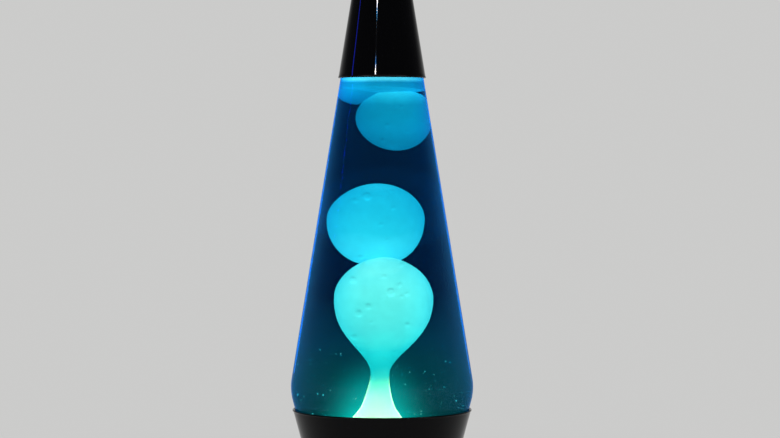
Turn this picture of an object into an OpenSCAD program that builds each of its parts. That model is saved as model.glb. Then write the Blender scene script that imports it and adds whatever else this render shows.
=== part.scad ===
// Liquid motion lamp: a tapered glass bottle of dyed liquid and wax stands in an hourglass base,
// whose bulb warms and lights it, under a tapered cap.
// Millimetres, +Z up. The origin is on the lamp's axis, on the surface that the lamp stands on.

/* [Bottle] */
// Widest diameter of the glass
bottle_d = 90; // [84:1:108]
// Lean of the long upper cone from upright, in degrees
cone_lean = 9.3; // [8.5:0.1:9.8]
// Lean of the short lower cone from upright, in degrees
foot_lean = 15.2; // [13:0.1:17]
// Radius that joins the two cones at the widest circle
belly_r = 26; // [18:1:36]
// Height of the widest circle above the bottle's underside
foot_h = 50; // [46:1:56]
// Height from the widest circle to the rim of the cap
cone_h = 152; // [126:1:158]
// Thickness of the glass wall
glass_wall = 2.8; // [2:0.1:3.4]
// Thickness of the glass floor
glass_floor = 5; // [4:0.1:7]
// Height of the hollow under the glass floor
push_up = 2; // [1:0.1:3]
// Outer radius of the rounded heel
heel_r = 5; // [3:0.5:7]
// Radius inside the heel
inner_heel_r = 8; // [5:0.5:10]

/* [Bottle mouth] */
// Distance of the lip below the top of the cap
mouth_drop = 41; // [40:0.5:48]
// Height of the shoulder that draws in to the neck
shoulder_h = 6; // [5:0.5:8]
// Height from the shoulder to the lip
neck_h = 11; // [9:0.5:13]
// Diameter of the neck
neck_d = 24.4; // [23:0.1:25]
// Diameter of the ring that the closure grips
ring_d = 26.6; // [26:0.1:27]
// Height of that ring
ring_h = 3; // [2.5:0.1:3.5]
// Distance from the ring's upper edge to the lip
ring_drop = 1.5; // [1:0.1:2]
// Diameter of the mouth
mouth_d = 16; // [14:0.5:18]
// Thickness of the closure's sheet
crown_t = 0.3; // [0.2:0.05:0.4]
// Height of the closure's skirt below the lip
crown_skirt_h = 5.2; // [4.8:0.1:5.6]
// Number of flutes in the closure
flutes = 21; // [15:1:27]
// Radius of one flute
flute_r = 0.9; // [0.7:0.05:1.1]
// Thickness of the liner in the closure
liner_t = 0.8; // [0.5:0.1:1.2]

/* [Cap] */
// Height of the cap
cap_h = 76; // [64:1:80]
// Thickness of the cap's sheet
cap_wall = 0.8; // [0.6:0.1:1.2]
// Radius of the cap's upper edge
cap_edge_r = 2.4; // [1.6:0.1:4]

/* [Base] */
// Height of the upper cone of the base, from the waist to the rim
cup_h = 59; // [52:1:66]
// Height of the lower cone of the base, from its lower edge to the waist
skirt_h = 66.4; // [63:0.1:84]
// Diameter of the lower edge
skirt_d = 97; // [90:1:116]
// Thickness of the base's sheet
base_wall = 0.8; // [0.6:0.1:1.2]
// Distance of the rim below the bottle's widest circle
rim_drop = 11; // [9:0.5:14]
// Outer radius of the bends at the waist
waist_edge_r = 2; // [1.6:0.1:2.4]
// Outer radius of the bend at the lower edge
foot_edge_r = 1.8; // [1.4:0.1:2.4]
// Width of the lip that turns in at the lower edge
lip_w = 7; // [6.6:0.1:9]
// Thickness of the base plate
plate_t = 1.2; // [0.8:0.1:2]
// Distance of the plate's edge inside the lower edge of the skirt
plate_inset = 1.2; // [0.8:0.1:2]
// Number of vents in the plate
vents = 6; // [4:1:10]
// Diameter of one vent
vent_d = 6; // [4:0.5:8]
// Radius of the circle of vents
vent_ring_r = 22; // [16:1:24]
// Height of a rubber foot below the plate
foot_pad_h = 2.4; // [1.8:0.1:4]
// Diameter of a rubber foot
foot_pad_d = 11; // [8:0.5:13]
// Number of rubber feet
foot_pads = 4; // [3:1:6]
// Radius of the circle of feet
foot_ring_r = 35; // [30:0.5:35]
// Diameter of a plate screw
screw_d = 2.9; // [2.5:0.1:3.2]
// Diameter of a plate screw's head
screw_head_d = 5; // [4.5:0.1:5.4]
// Height of a plate screw's head
screw_head_h = 1.3; // [1:0.1:1.5]
// Reach of a plate screw above the lip
screw_reach = 4; // [3:0.5:8]
// Number of plate screws
screws = 3; // [3:1:6]
// Turn of the first plate screw, in degrees
screw_start = 30; // [0:1:90]

/* [Waist] */
// Diameter of a waist rivet
rivet_d = 2.8; // [2.4:0.1:3]
// Diameter of a rivet's head
rivet_head_d = 4.4; // [4:0.1:4.6]
// Height of a rivet's head
rivet_head_h = 1.1; // [0.9:0.1:1.4]
// Gap between the bulb and the edge of the waist's hole
waist_gap = 1.2; // [1:0.1:1.4]

/* [Lampholder] */
// Thickness of the strap
strap_t = 1; // [0.8:0.1:1.2]
// Width of the strap
strap_w = 16; // [12:1:18]
// Inner radius of the strap's bends
strap_bend_r = 0.8; // [0.6:0.1:1]
// Gap between the edge of the waist's hole and the strap's arms
strap_gap = 0.4; // [0.3:0.1:0.6]
// Diameter of the lampholder's body
holder_d = 27; // [25:0.5:31]
// Height of the lampholder's body
holder_h = 26; // [23:0.5:28]
// Thickness of its floor
holder_floor = 8; // [7:0.5:9]
// Depth of the nipple's thread in that floor
nipple_seat = 5; // [4:0.5:6]
// Height of the centre contact in the holder
contact_h = 3; // [2:0.1:4]
// Distance of the threaded shell's edge below the top of the body
holder_shell_drop = 0.6; // [0.4:0.1:2]
// Thickness of the threaded shell in the holder
shell_wall = 0.5; // [0.4:0.1:0.7]
// Outer diameter of the threaded nipple
nipple_d = 9.6; // [9:0.1:10]
// Bore of the nipple
nipple_bore_d = 6.6; // [6:0.1:7]
// Reach of the nipple below the strap
nipple_reach = 5; // [4.5:0.1:5.4]
// Width of the nut across its corners
nut_d = 16; // [14:0.5:17]
// Height of the nut
nut_h = 3; // [2.5:0.1:3.5]
// Thickness of the lock washer
washer_t = 1; // [0.8:0.1:1.4]
// Diameter of a terminal screw
terminal_d = 3.2; // [2.8:0.1:3.6]
// Diameter of a terminal screw's head
terminal_head_d = 6; // [5:0.1:6.4]
// Height of a terminal screw's head
terminal_head_h = 1.8; // [1.4:0.1:2.2]
// Depth of a terminal screw in the body
terminal_reach = 3; // [2:0.5:3.5]
// Depth of the flats that the terminal screws sit on
terminal_flat = 1; // [0.6:0.1:1.6]

/* [Bulb] */
// Diameter of the bulb
bulb_d = 35; // [29:0.5:36]
// Length of the bulb
bulb_len = 58.7; // [55:0.1:60]
// Gap between the bulb's tip and the bottle
bulb_gap = 10; // [8.5:0.5:12]
// Thickness of the bulb's glass
bulb_wall = 0.7; // [0.5:0.1:1]
// Height of the straight belly of the bulb
bulb_belly_h = 8; // [5:0.5:10]
// Outer diameter of the bulb's thread
thread_d = 16.6; // [16:0.1:17]
// Depth of the thread
thread_depth = 0.55; // [0.4:0.05:0.7]
// Pitch of the thread
thread_pitch = 2.8; // [2.4:0.1:3.2]
// Thickness of the bulb's screw shell
thread_wall = 0.35; // [0.3:0.05:0.5]
// Height of the bulb's contact
tip_h = 1.4; // [1:0.1:2]
// Diameter of the bulb's contact
tip_d = 6.4; // [5:0.1:8]
// Height of the insulator between contact and screw shell
insulator_h = 3.2; // [2.6:0.1:4]
// Height of the screw shell
screw_shell_h = 13; // [11:0.5:14]
// Height of the neck between the screw shell and the bulb
bulb_neck_h = 2; // [1:0.5:3]
// Height of the filament above the contact
filament_h = 39; // [37:0.5:41]
// Radius of the filament's arc
filament_arc_r = 7; // [5:0.5:9]
// Diameter of the stem that carries the wires
stem_d = 4.4; // [3:0.1:5]
// Diameter of the bulb's wires
bulb_wire_d = 0.6; // [0.4:0.1:0.8]

/* [Cord gland] */
// Height of the gland's axis at the wall, above the surface
gland_z = 20; // [18:0.5:24]
// Bore of the gland
gland_bore_d = 7; // [6:0.1:8]
// Diameter of the gland's barrel
gland_d = 9.8; // [9:0.1:11]
// Diameter of the gland's outer flange
gland_flange_d = 13.6; // [12.6:0.1:14.6]
// Thickness of the gland's flanges
gland_flange_t = 1.8; // [1.2:0.1:2.2]
// Diameter of the gland's inner flange
gland_snap_d = 11.6; // [11:0.1:12.4]

/* [Wax] */
// Height of the wax pool above the glass floor
pool_h = 17; // [14:0.5:19]
// Radius of the column where it leaves the pool
column_foot_r = 18; // [14:0.5:21]
// Radius of the column's neck
neck_wax_r = 3.45; // [2.5:0.05:5]
// Distance of the neck below the lobe's widest circle
neck_wax_drop = 37.7; // [32:0.1:42]
// Radius of the column's lobe
lobe_r = 20; // [17:0.1:21]
// Place of the lobe's widest circle, its depth counted from the rim of the cap
lobe_at = [0.55, -9.85, 108.3]; // [-20:0.05:112]
// Height of the lobe's top above its widest circle
lobe_crown_h = 20.7; // [18:0.1:21]
// Where the column leaves the pool, from the axis
column_foot = [-1.7, -5.6]; // [-8:0.1:8]
// Radius of the middle blob
middle_r = 15.7; // [13:0.1:16]
// Height of the middle blob above and below its widest circle
middle_h = [17.2, 25]; // [12:0.1:25]
// Place of the middle blob's widest circle, its depth counted from the rim of the cap
middle_at = [-1.85, 10, 69]; // [-20:0.05:72]
// Radius of the upper blob
upper_r = 14.5; // [12:0.1:14.6]
// Height of the upper blob above and below its widest circle
upper_h = [14.2, 15.3]; // [10:0.1:15.4]
// Place of the upper blob's widest circle, its depth counted from the rim of the cap
upper_at = [4.8, -1, 20.7]; // [-20:0.1:24]
// Rise of the middle blob, and sinking of the upper one, on their ways
blob_travel = 8; // [4:0.5:8]
// Radius of the round underside of the wax at the top
top_wax_r = 36; // [32:1:44]
// Lowest point of that underside, its depth counted from the rim of the cap
top_wax_at = [-2.7, 10, 13.5]; // [-20:0.1:16]
// Height of the air between that wax and the shoulder of the neck
air_h = 4; // [2:0.5:8]

/* [Heating coil] */
// Radius of the ring that the coil lies in
coil_ring_r = 17; // [14:0.5:18]
// Radius of one curl
curl_r = 3.2; // [2.5:0.1:3.6]
// Diameter of the wire
coil_wire_d = 0.9; // [0.6:0.1:1.2]
// Number of curls
curls = 24; // [12:1:24]
// Part of the full circle that the coil runs, in degrees
coil_run = 345; // [300:1:350]

/* [Fits] */
// Gap between the bottle and the cup of the base
bottle_gap = 0.3; // [0.2:0.05:0.5]
// Gap between the bottle and the cap
cap_gap = 0.3; // [0.2:0.05:0.5]
// Gap of a screw, rivet or nipple in its hole
hole_gap = 0.05; // [0.02:0.01:0.1]
// Gap between the wax or the liquid and what it lies against
film = 0.15; // [0.1:0.05:0.3]
// Gap around a moving blob and around the heating coil
float_gap = 0.35; // [0.3:0.05:0.5]
// Gap between the bulb's thread and the holder's
thread_gap = 0.3; // [0.3:0.05:0.4]
// Gap between the contacts of bulb and holder
contact_gap = 0.3; // [0.3:0.05:0.5]
// Gap between pieces that are assembled by hand
seat_gap = 0.1; // [0.05:0.05:0.2]

/* [Hidden] */
$fn = 96;
arc_step = 6;
curve_steps = 8;
quarter = 0.5523;
coil_rings = 8;
coil_sides = 6;
wave_steps = 8;
cut = 1;

bottle_r = bottle_d / 2;
skirt_r0 = skirt_d / 2;
bulb_r = bulb_d / 2;
plate_z = foot_pad_h;
stand_z = plate_z + plate_t;
waist_z = stand_z + skirt_h;
rim_z = waist_z + cup_h;
widest_z = rim_z + rim_drop;
bottle_z = widest_z - foot_h;
floor_z = bottle_z + glass_floor;
cap_z = widest_z + cone_h;
top_z = cap_z + cap_h;
crown_rim_r = ring_d / 2 + crown_t + flute_r;
lip_z = min(top_z - mouth_drop, cone_z(crown_rim_r + flute_r / 2 + cap_gap, -cap_gap) + crown_skirt_h);
shoulder_z = lip_z - neck_h - shoulder_h;
crown_z = lip_z + liner_t;
wax_top_z = shoulder_z - air_h;
pool_z = floor_z + pool_h;
wax_inset = glass_wall + film;

waist_hole_r = bulb_r + waist_gap;
waist_r = foot_r(waist_z, -bottle_gap - base_wall);
skirt_lean = atan((skirt_r0 - waist_r) / skirt_h);
arm_x = waist_hole_r + strap_gap;
ear_z = waist_z - base_wall - strap_t;
ear_r = skirt_r(waist_z - base_wall, base_wall) - waist_edge_r + base_wall - strap_gap;
rivet_ring_r = arm_x + strap_t + strap_bend_r + rivet_head_d / 2 + seat_gap;
lip_r = skirt_r0 - lip_w;
screw_ring_r = skirt_r0 - lip_w / 2 - base_wall;

bulb_z = bottle_z - bulb_gap - bulb_len;
thread_r = thread_d / 2;
screw_shell_z = bulb_z + tip_h + insulator_h;
seal_r = thread_r - thread_depth - thread_wall - seat_gap;
holder_bore_r = thread_r + thread_gap + thread_depth + shell_wall + seat_gap;
holder_shell_r = thread_r + thread_gap;
holder_z = bulb_z - contact_gap - contact_h - holder_floor;
web_z = holder_z - strap_t;
stem_r = stem_d / 2;
stem_top_z = bulb_z + filament_h - filament_arc_r;
coil_z = floor_z + curl_r + coil_wire_d / 2 + seat_gap;

// Radius of the glass's upper cone at a height, inset from its outside
function cone_r(z, inset = 0) =
    bottle_r - belly_r + (belly_r - inset) / cos(cone_lean) - (z - widest_z) * tan(cone_lean);

// Height at which the glass's upper cone has a radius, inset from its outside
function cone_z(r, inset = 0) = widest_z + (cone_r(widest_z, inset) - r) / tan(cone_lean);

// Radius of the glass's lower cone at a height, inset from its outside
function foot_r(z, inset = 0) =
    bottle_r - belly_r + (belly_r - inset) / cos(foot_lean) + (z - widest_z) * tan(foot_lean);

// Corner where the two cones would meet, with the radius that rounds it
function belly(inset = 0) =
    let (gain = 1 / cos(cone_lean) - 1 / cos(foot_lean))
    let (z = widest_z + (belly_r - inset) * gain / (tan(cone_lean) + tan(foot_lean)))
    [cone_r(z, inset), z, belly_r - inset];

// Radius of the base's lower cone at a height, inset from its outside
function skirt_r(z, inset = 0) = skirt_r0 - (z - stand_z) * tan(skirt_lean) - inset / cos(skirt_lean);

function unit(v) = v / norm(v);
function flat(p) = [p.x, p.y];
function mirrored(corner) = len(corner) > 2 ? [-corner.x, corner.y, corner.z] : [-corner.x, corner.y];

// Arc of a given radius that rounds the corner p between a and b
function fillet(a, p, b, r) =
    let (u = unit(a - p))
    let (v = unit(b - p))
    let (half = acos(u * v) / 2)
    let (centre = p + unit(u + v) * r / sin(half))
    let (from = p + u * r / tan(half) - centre)
    let (to = p + v * r / tan(half) - centre)
    let (start = atan2(from.y, from.x))
    let (turn = (atan2(to.y, to.x) - start + 540) % 360 - 180)
    let (steps = max(2, ceil(abs(turn) / arc_step)))
    [for (i = [0:steps]) centre + r * [cos(start + turn * i / steps), sin(start + turn * i / steps)]];

// Points of an outline whose corners are [x, y] or, where they are rounded, [x, y, radius]
function outline(corners) =
    let (n = len(corners))
    [for (i = [0:n - 1])
        let (p = corners[i])
        each len(p) > 2
            ? fillet(flat(corners[(i + n - 1) % n]), flat(p), flat(corners[(i + 1) % n]), p.z)
            : [p]];

// Points of a cubic curve, without its last one
function curve(a, b, c, d) =
    [for (i = [0:curve_steps - 1])
        let (t = i / curve_steps)
        let (s = 1 - t)
        s * s * s * a + 3 * s * s * t * b + 3 * s * t * t * c + t * t * t * d];

// Half outline of an egg around its axis, whose upper and lower halves stand apart by its travel
function egg(r, h, low = 0, high = 0) =
    concat(
        curve([0, low - h[1]], [r * quarter, low - h[1]], [r, low - h[1] * quarter], [r, low]),
        low < high ? [[r, low]] : [],
        curve([r, high], [r, high + h[0] * quarter], [r * quarter, high + h[0]], [0, high + h[0]]),
        [[0, high + h[0]]]);

// Solid turned around the Z axis from rounded corners
module turned(corners) {
    rotate_extrude() polygon(outline(corners));
}

// Copies on a circle
module ring_of(count, radius, start = 0) {
    for (i = [0:count - 1])
        rotate([0, 0, start + i * 360 / count]) translate([radius, 0, 0]) children();
}

// Round cut that runs past the faces at two heights
module hole(r, low, high) {
    translate([0, 0, low - cut]) cylinder(r = r, h = high - low + 2 * cut);
}

// Tube between two heights
module tube(outer_r, inner_r, low, high) {
    difference() {
        translate([0, 0, low]) cylinder(r = outer_r, h = high - low);
        hole(inner_r, low, high);
    }
}

// Half outline of a wall that waves in and out like a rolled thread
function waved(r, depth, low, high, step) =
    let (n = ceil((high - low) / step * wave_steps))
    [for (i = [0:n]) [r - depth * (1 - cos(i * 360 / wave_steps)) / 2, low + (high - low) * i / n]];

// Sheet metal cap over the bottle's mouth, closed above, with a rolled rim
module top_cap() {
    bead_r = cap_wall / 2 + seat_gap;
    color("#0b0b0e") rotate_extrude() union() {
        polygon(outline([
            [cone_r(cap_z + bead_r, -cap_gap), cap_z + bead_r],
            [cone_r(cap_z + bead_r, -cap_gap - cap_wall), cap_z + bead_r],
            [cone_r(top_z, -cap_gap - cap_wall), top_z, cap_edge_r],
            [0, top_z],
            [0, top_z - cap_wall],
            [cone_r(top_z - cap_wall, -cap_gap), top_z - cap_wall, cap_edge_r - cap_wall]]));
        translate([cone_r(cap_z + bead_r, -cap_gap) + bead_r, cap_z + bead_r]) circle(r = bead_r);
    }
}

// Crimped closure on the bottle's mouth
module crown_closure() {
    crown_top_r = crown_rim_r - flute_r;
    crown_low_z = lip_z - crown_skirt_h;
    lean = atan((crown_rim_r - crown_top_r) / (crown_z - crown_low_z));
    color("#b9bcc2") difference() {
        union() {
            turned([
                [0, crown_low_z],
                [crown_rim_r, crown_low_z],
                [crown_top_r, crown_z + crown_t, flute_r],
                [0, crown_z + crown_t]]);
            ring_of(flutes, crown_rim_r - flute_r / 2)
                translate([0, 0, crown_low_z]) rotate([0, -lean, 0])
                    cylinder(r = flute_r, h = crown_skirt_h - ring_drop);
        }
        turned([
            [0, crown_low_z - flute_r],
            [crown_rim_r - crown_t, crown_low_z - flute_r],
            [crown_rim_r - crown_t, crown_low_z],
            [crown_top_r - crown_t + seat_gap, crown_z, flute_r - crown_t],
            [0, crown_z]]);
        translate([0, 0, crown_low_z - 2 * flute_r]) cylinder(r = crown_rim_r + flute_r, h = 2 * flute_r);
    }
}

// Liner between the closure and the lip
module crown_liner() {
    color("#d9d3c4") translate([0, 0, lip_z]) cylinder(d = neck_d, h = liner_t);
}

// Clear glass bottle with a hollow foot and a mouth for a crimped closure
module glass_bottle() {
    neck_r = neck_d / 2;
    ring_r = ring_d / 2;
    neck_z = shoulder_z + shoulder_h;
    ring_z = lip_z - ring_drop;
    color("#9fd4ee", 0.35) turned([
        [0, bottle_z + push_up],
        [foot_r(bottle_z) - 2 * heel_r, bottle_z, heel_r],
        [foot_r(bottle_z), bottle_z, heel_r],
        belly(),
        [cone_r(shoulder_z), shoulder_z, heel_r],
        [neck_r, neck_z, heel_r / 2],
        [neck_r, ring_z - ring_h],
        [ring_r, ring_z - ring_h, ring_drop / 2],
        [ring_r, ring_z, ring_drop / 2],
        [neck_r, lip_z, ring_drop / 2],
        [mouth_d / 2, lip_z, ring_drop / 2],
        [mouth_d / 2, neck_z, heel_r],
        [cone_r(shoulder_z, glass_wall), shoulder_z, heel_r],
        belly(glass_wall),
        [foot_r(floor_z, glass_wall), floor_z, inner_heel_r],
        [0, floor_z]]);
}

// Column that leans up out of the pool: a flared foot, a thin neck and a round lobe
module wax_rise(grow = 0) {
    lobe_h = cap_z - lobe_at.z - pool_z;
    neck_wax_h = lobe_h - neck_wax_drop;
    way = [lobe_at.x - column_foot.x, lobe_at.y - column_foot.y];
    foot = [column_foot_r + grow, 0];
    neck = [neck_wax_r + grow, neck_wax_h];
    lobe = [lobe_r + grow, lobe_h];
    crown = [0, lobe_h + lobe_crown_h + grow];
    root = [0, pool_h / 3];
    flare = [-column_foot_r / 4, neck_wax_h / 5];
    neck_fall = [0, neck_wax_h / 3];
    neck_rise = [0, neck_wax_drop / 4];
    translate([column_foot.x, column_foot.y, pool_z]) rotate([-atan(way.y / lobe_h), atan(way.x / lobe_h), 0])
        rotate_extrude() polygon(concat(
            [-root, foot - root],
            curve(foot, foot + flare, neck - neck_fall, neck),
            curve(neck, neck + neck_rise, lobe - 2 * neck_rise, lobe),
            curve(lobe, lobe + [0, lobe_crown_h * quarter], [lobe.x * quarter, crown.y], crown),
            [crown]));
}

// Wax that rises out of the pool on the bottle's floor, with a trench for the heating coil
module wax_column() {
    trench = curl_r + coil_wire_d / 2 + float_gap;
    color("#8ff3e6") difference() {
        union() {
            turned([
                [0, floor_z + film],
                [foot_r(floor_z + film, wax_inset), floor_z + film, inner_heel_r - film],
                [foot_r(pool_z, wax_inset), pool_z],
                [0, pool_z]]);
            wax_rise();
        }
        rotate_extrude() union() {
            translate([coil_ring_r, coil_z]) circle(r = trench);
            translate([coil_ring_r - trench, floor_z]) square([2 * trench, coil_z - floor_z]);
        }
    }
}

// Puts a shape on the middle blob's way, which runs along the rear wall
module on_middle_way() {
    translate([middle_at.x, middle_at.y, cap_z - middle_at.z]) rotate([cone_lean, 0, 0]) children();
}

// Puts a shape on the upper blob's way, which runs along the right wall
module on_upper_way() {
    translate([upper_at.x, upper_at.y, cap_z - upper_at.z]) rotate([0, -cone_lean, 0]) children();
}

// Free blob in the middle, wider above
module wax_blob_middle() {
    color("#1fc4ea") on_middle_way() rotate_extrude() polygon(egg(middle_r, middle_h));
}

// Free blob near the top, against the right wall
module wax_blob_upper() {
    color("#12a0cb") on_upper_way() rotate_extrude() polygon(egg(upper_r, upper_h));
}

// Room that the middle blob needs as it rises
module middle_lane() {
    room = [float_gap, float_gap];
    on_middle_way() rotate_extrude() polygon(egg(middle_r + float_gap, middle_h + room, 0, blob_travel));
}

// Room that the upper blob needs as it sinks
module upper_lane() {
    room = [float_gap, float_gap];
    on_upper_way() rotate_extrude() polygon(egg(upper_r + float_gap, upper_h + room, -blob_travel, 0));
}

// Round underside of the wax at the top
module top_wax_round(grow = 0) {
    translate([top_wax_at.x, top_wax_at.y, cap_z - top_wax_at.z + top_wax_r]) sphere(r = top_wax_r + grow);
}

// Inside of the bottle between two heights, on the upper cone
module cone_space(low, high) {
    turned([[0, low], [cone_r(low, wax_inset), low], [cone_r(high, wax_inset), high], [0, high]]);
}

// Wax gathered under the liquid's surface, behind the upper blob
module wax_top_pool() {
    color("#0f93c4") difference() {
        intersection() {
            cone_space(cap_z - upper_at.z, wax_top_z);
            top_wax_round();
        }
        upper_lane();
    }
}

// Dyed liquid around the wax
module liquid() {
    low = pool_z + film;
    color("#04304f", 0.6) difference() {
        turned([
            [0, low],
            [foot_r(low, wax_inset), low],
            belly(wax_inset),
            [cone_r(wax_top_z, wax_inset), wax_top_z],
            [0, wax_top_z]]);
        wax_rise(film);
        middle_lane();
        upper_lane();
        top_wax_round(film);
    }
}

// Point on the heating coil's wire, and the two directions across the wire there
function coil_turn(i) = coil_run * i / (curls * coil_rings);
function curl_turn(i) = 360 * i / coil_rings;
function coil_out(i) = [cos(coil_turn(i)), sin(coil_turn(i)), 0];
function coil_along(i) = [-sin(coil_turn(i)), cos(coil_turn(i)), 0];
function coil_normal(i) = cos(curl_turn(i)) * coil_out(i) + [0, 0, sin(curl_turn(i))];
function coil_point(i) = coil_ring_r * coil_out(i) + [0, 0, coil_z] + curl_r * coil_normal(i);
function coil_side(i) =
    let (round = [0, 0, cos(curl_turn(i))] - sin(curl_turn(i)) * coil_out(i))
    let (ahead = (coil_ring_r + curl_r * cos(curl_turn(i))) * coil_run / 360)
    unit(cross(curl_r * curls * round + ahead * coil_along(i), coil_normal(i)));

// Least gap of the coil to itself, between points at least half a curl apart along the wire
coil_points = [for (i = [0:curls * coil_rings]) coil_point(i)];
coil_gap = min([for (i = [0:curls * coil_rings])
    for (j = [i + coil_rings / 2:1:curls * coil_rings]) norm(coil_points[i] - coil_points[j])]) - coil_wire_d;

// Wire coil that spreads the heat in the wax
module heating_coil() {
    last = curls * coil_rings;
    points = [for (i = [0:last]) for (k = [0:coil_sides - 1])
        coil_points[i] + coil_wire_d / 2
            * (cos(k * 360 / coil_sides) * coil_normal(i) + sin(k * 360 / coil_sides) * coil_side(i))];
    sides = [for (i = [0:last - 1]) for (k = [0:coil_sides - 1])
        let (a = i * coil_sides + k)
        let (b = i * coil_sides + (k + 1) % coil_sides)
        each [[a, b, a + coil_sides], [b, b + coil_sides, a + coil_sides]]];
    ends = [for (k = [1:coil_sides - 2])
        each [[0, k + 1, k], [last * coil_sides, last * coil_sides + k, last * coil_sides + k + 1]]];
    color("#a9a7a0") polyhedron(points = points, faces = concat(sides, ends));
}

// Cup that the bottle stands in, with a rolled rim and a floor that turns in at the waist
module base_cup() {
    bead_r = base_wall / 2 + seat_gap;
    color("#0a0a0c") difference() {
        rotate_extrude() union() {
            polygon(outline([
                [waist_hole_r, waist_z],
                [waist_r, waist_z, waist_edge_r],
                [foot_r(rim_z - bead_r, -bottle_gap - base_wall), rim_z - bead_r],
                [foot_r(rim_z - bead_r, -bottle_gap), rim_z - bead_r],
                [foot_r(waist_z + base_wall, -bottle_gap), waist_z + base_wall, waist_edge_r - base_wall],
                [waist_hole_r, waist_z + base_wall]]));
            translate([foot_r(rim_z, -bottle_gap) + bead_r, rim_z - bead_r]) circle(r = bead_r);
        }
        waist_holes();
    }
}

// Holes for the rivets at the waist
module waist_holes() {
    ring_of(4, rivet_ring_r) hole(rivet_d / 2 + hole_gap, ear_z, waist_z + base_wall);
}

// Places a shape on the gland's axis, which stands square on the rear wall
module on_gland_axis() {
    translate([0, skirt_r(gland_z), gland_z]) rotate([skirt_lean - 90, 0, 0]) children();
}

// Lower cone of the base, which turns in at the waist and at its lower edge
module base_skirt() {
    color("#0a0a0c") difference() {
        turned([
            [waist_hole_r, waist_z - base_wall],
            [waist_hole_r, waist_z],
            [waist_r, waist_z, waist_edge_r],
            [skirt_r0, stand_z, foot_edge_r],
            [lip_r, stand_z],
            [lip_r, stand_z + base_wall],
            [skirt_r(stand_z + base_wall, base_wall), stand_z + base_wall, foot_edge_r - base_wall],
            [skirt_r(waist_z - base_wall, base_wall), waist_z - base_wall, waist_edge_r - base_wall]]);
        waist_holes();
        ring_of(screws, screw_ring_r, screw_start)
            hole(screw_d / 2 + hole_gap, stand_z, stand_z + base_wall);
        on_gland_axis() hole(gland_d / 2 + seat_gap, -gland_d / 2, gland_d / 2);
    }
}

// Rivet with two flat round heads between two heights
module rivet(low, high) {
    translate([0, 0, low - rivet_head_h]) cylinder(d = rivet_head_d, h = rivet_head_h);
    translate([0, 0, low]) cylinder(d = rivet_d, h = high - low);
    translate([0, 0, high]) cylinder(d = rivet_head_d, h = rivet_head_h);
}

// Rivets that join cup and skirt, two of them through the strap's ears
module waist_rivets() {
    color("#8d9095") {
        ring_of(2, rivet_ring_r) rivet(ear_z, waist_z + base_wall);
        ring_of(2, rivet_ring_r, 90) rivet(waist_z - base_wall, waist_z + base_wall);
    }
}

// Bent strap that hangs the lampholder from the waist
module socket_strap() {
    half = [
        [arm_x + strap_t, web_z, strap_bend_r + strap_t],
        [arm_x + strap_t, ear_z, strap_bend_r],
        [ear_r, ear_z],
        [ear_r, ear_z + strap_t],
        [arm_x, ear_z + strap_t, strap_bend_r + strap_t],
        [arm_x, web_z + strap_t, strap_bend_r]];
    color("#9a9da1") difference() {
        intersection() {
            rotate([90, 0, 0]) linear_extrude(height = strap_w, center = true) polygon(outline(concat(
                half,
                [for (i = [len(half) - 1:-1:0]) mirrored(half[i])])));
            cylinder(r = ear_r, h = waist_z);
        }
        waist_holes();
        hole(nipple_d / 2 + hole_gap, web_z, holder_z);
    }
}

// Threaded nipple that the lampholder is screwed on
module threaded_nipple() {
    high = holder_z + nipple_seat - seat_gap;
    color("#c9a24d") tube(nipple_d / 2, nipple_bore_d / 2, web_z - nipple_reach, high);
}

// Split washer under the strap
module lock_washer() {
    color("#8b8e92") difference() {
        tube(nipple_d / 2 + 3 * washer_t, nipple_d / 2 + seat_gap, web_z - washer_t, web_z);
        translate([0, -washer_t / 2, web_z - 2 * washer_t]) cube([nipple_d, washer_t, 3 * washer_t]);
    }
}

// Six-sided nut on the nipple
module nipple_nut() {
    color("#c9a24d") difference() {
        translate([0, 0, web_z - washer_t - nut_h]) cylinder(d = nut_d, h = nut_h, $fn = 6);
        hole(nipple_d / 2 + hole_gap, web_z - washer_t - nut_h, web_z - washer_t);
    }
}

// Places a shape on each terminal screw's axis, which points out of the holder
module on_terminals() {
    for (side = [0, 1])
        mirror([0, side, 0]) translate([0, -holder_d / 2 + terminal_flat, holder_z + holder_floor / 2])
            rotate([90, 0, 0]) children();
}

// Moulded body of the lampholder
module lampholder_body() {
    color("#e9e4d6") difference() {
        translate([0, 0, holder_z]) cylinder(d = holder_d, h = holder_h);
        translate([0, 0, holder_z + holder_floor]) cylinder(r = holder_bore_r, h = holder_h);
        translate([0, 0, holder_z - cut]) cylinder(r = nipple_d / 2 + hole_gap, h = nipple_seat + cut);
        on_terminals() {
            translate([-holder_d / 2, -holder_floor / 2, 0]) cube([holder_d, holder_floor, holder_d]);
            translate([0, 0, -terminal_reach - hole_gap])
                cylinder(r = terminal_d / 2 + hole_gap, h = terminal_reach + cut);
        }
    }
}

// Threaded shell in the lampholder
module lampholder_shell() {
    low = holder_z + holder_floor;
    high = holder_z + holder_h - holder_shell_drop;
    inner = waved(holder_shell_r + thread_depth, thread_depth, low + shell_wall, high, thread_pitch);
    outer = [for (p = inner) p + [shell_wall, 0]];
    n = len(inner);
    color("#caa14a") rotate_extrude() polygon(concat(
        [[tip_d / 2 + 2 * contact_gap, low], [outer[0].x, low]],
        outer,
        [for (i = [n - 1:-1:0]) inner[i]],
        [[tip_d / 2 + 2 * contact_gap, low + shell_wall]]));
}

// Centre contact in the lampholder
module lampholder_contact() {
    low = holder_z + holder_floor;
    color("#d8b25a") turned([
        [0, low],
        [tip_d / 2, low],
        [tip_d / 2, low + contact_h / 4, contact_gap],
        [tip_d / 4, low + contact_h, contact_gap],
        [0, low + contact_h]]);
}

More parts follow.
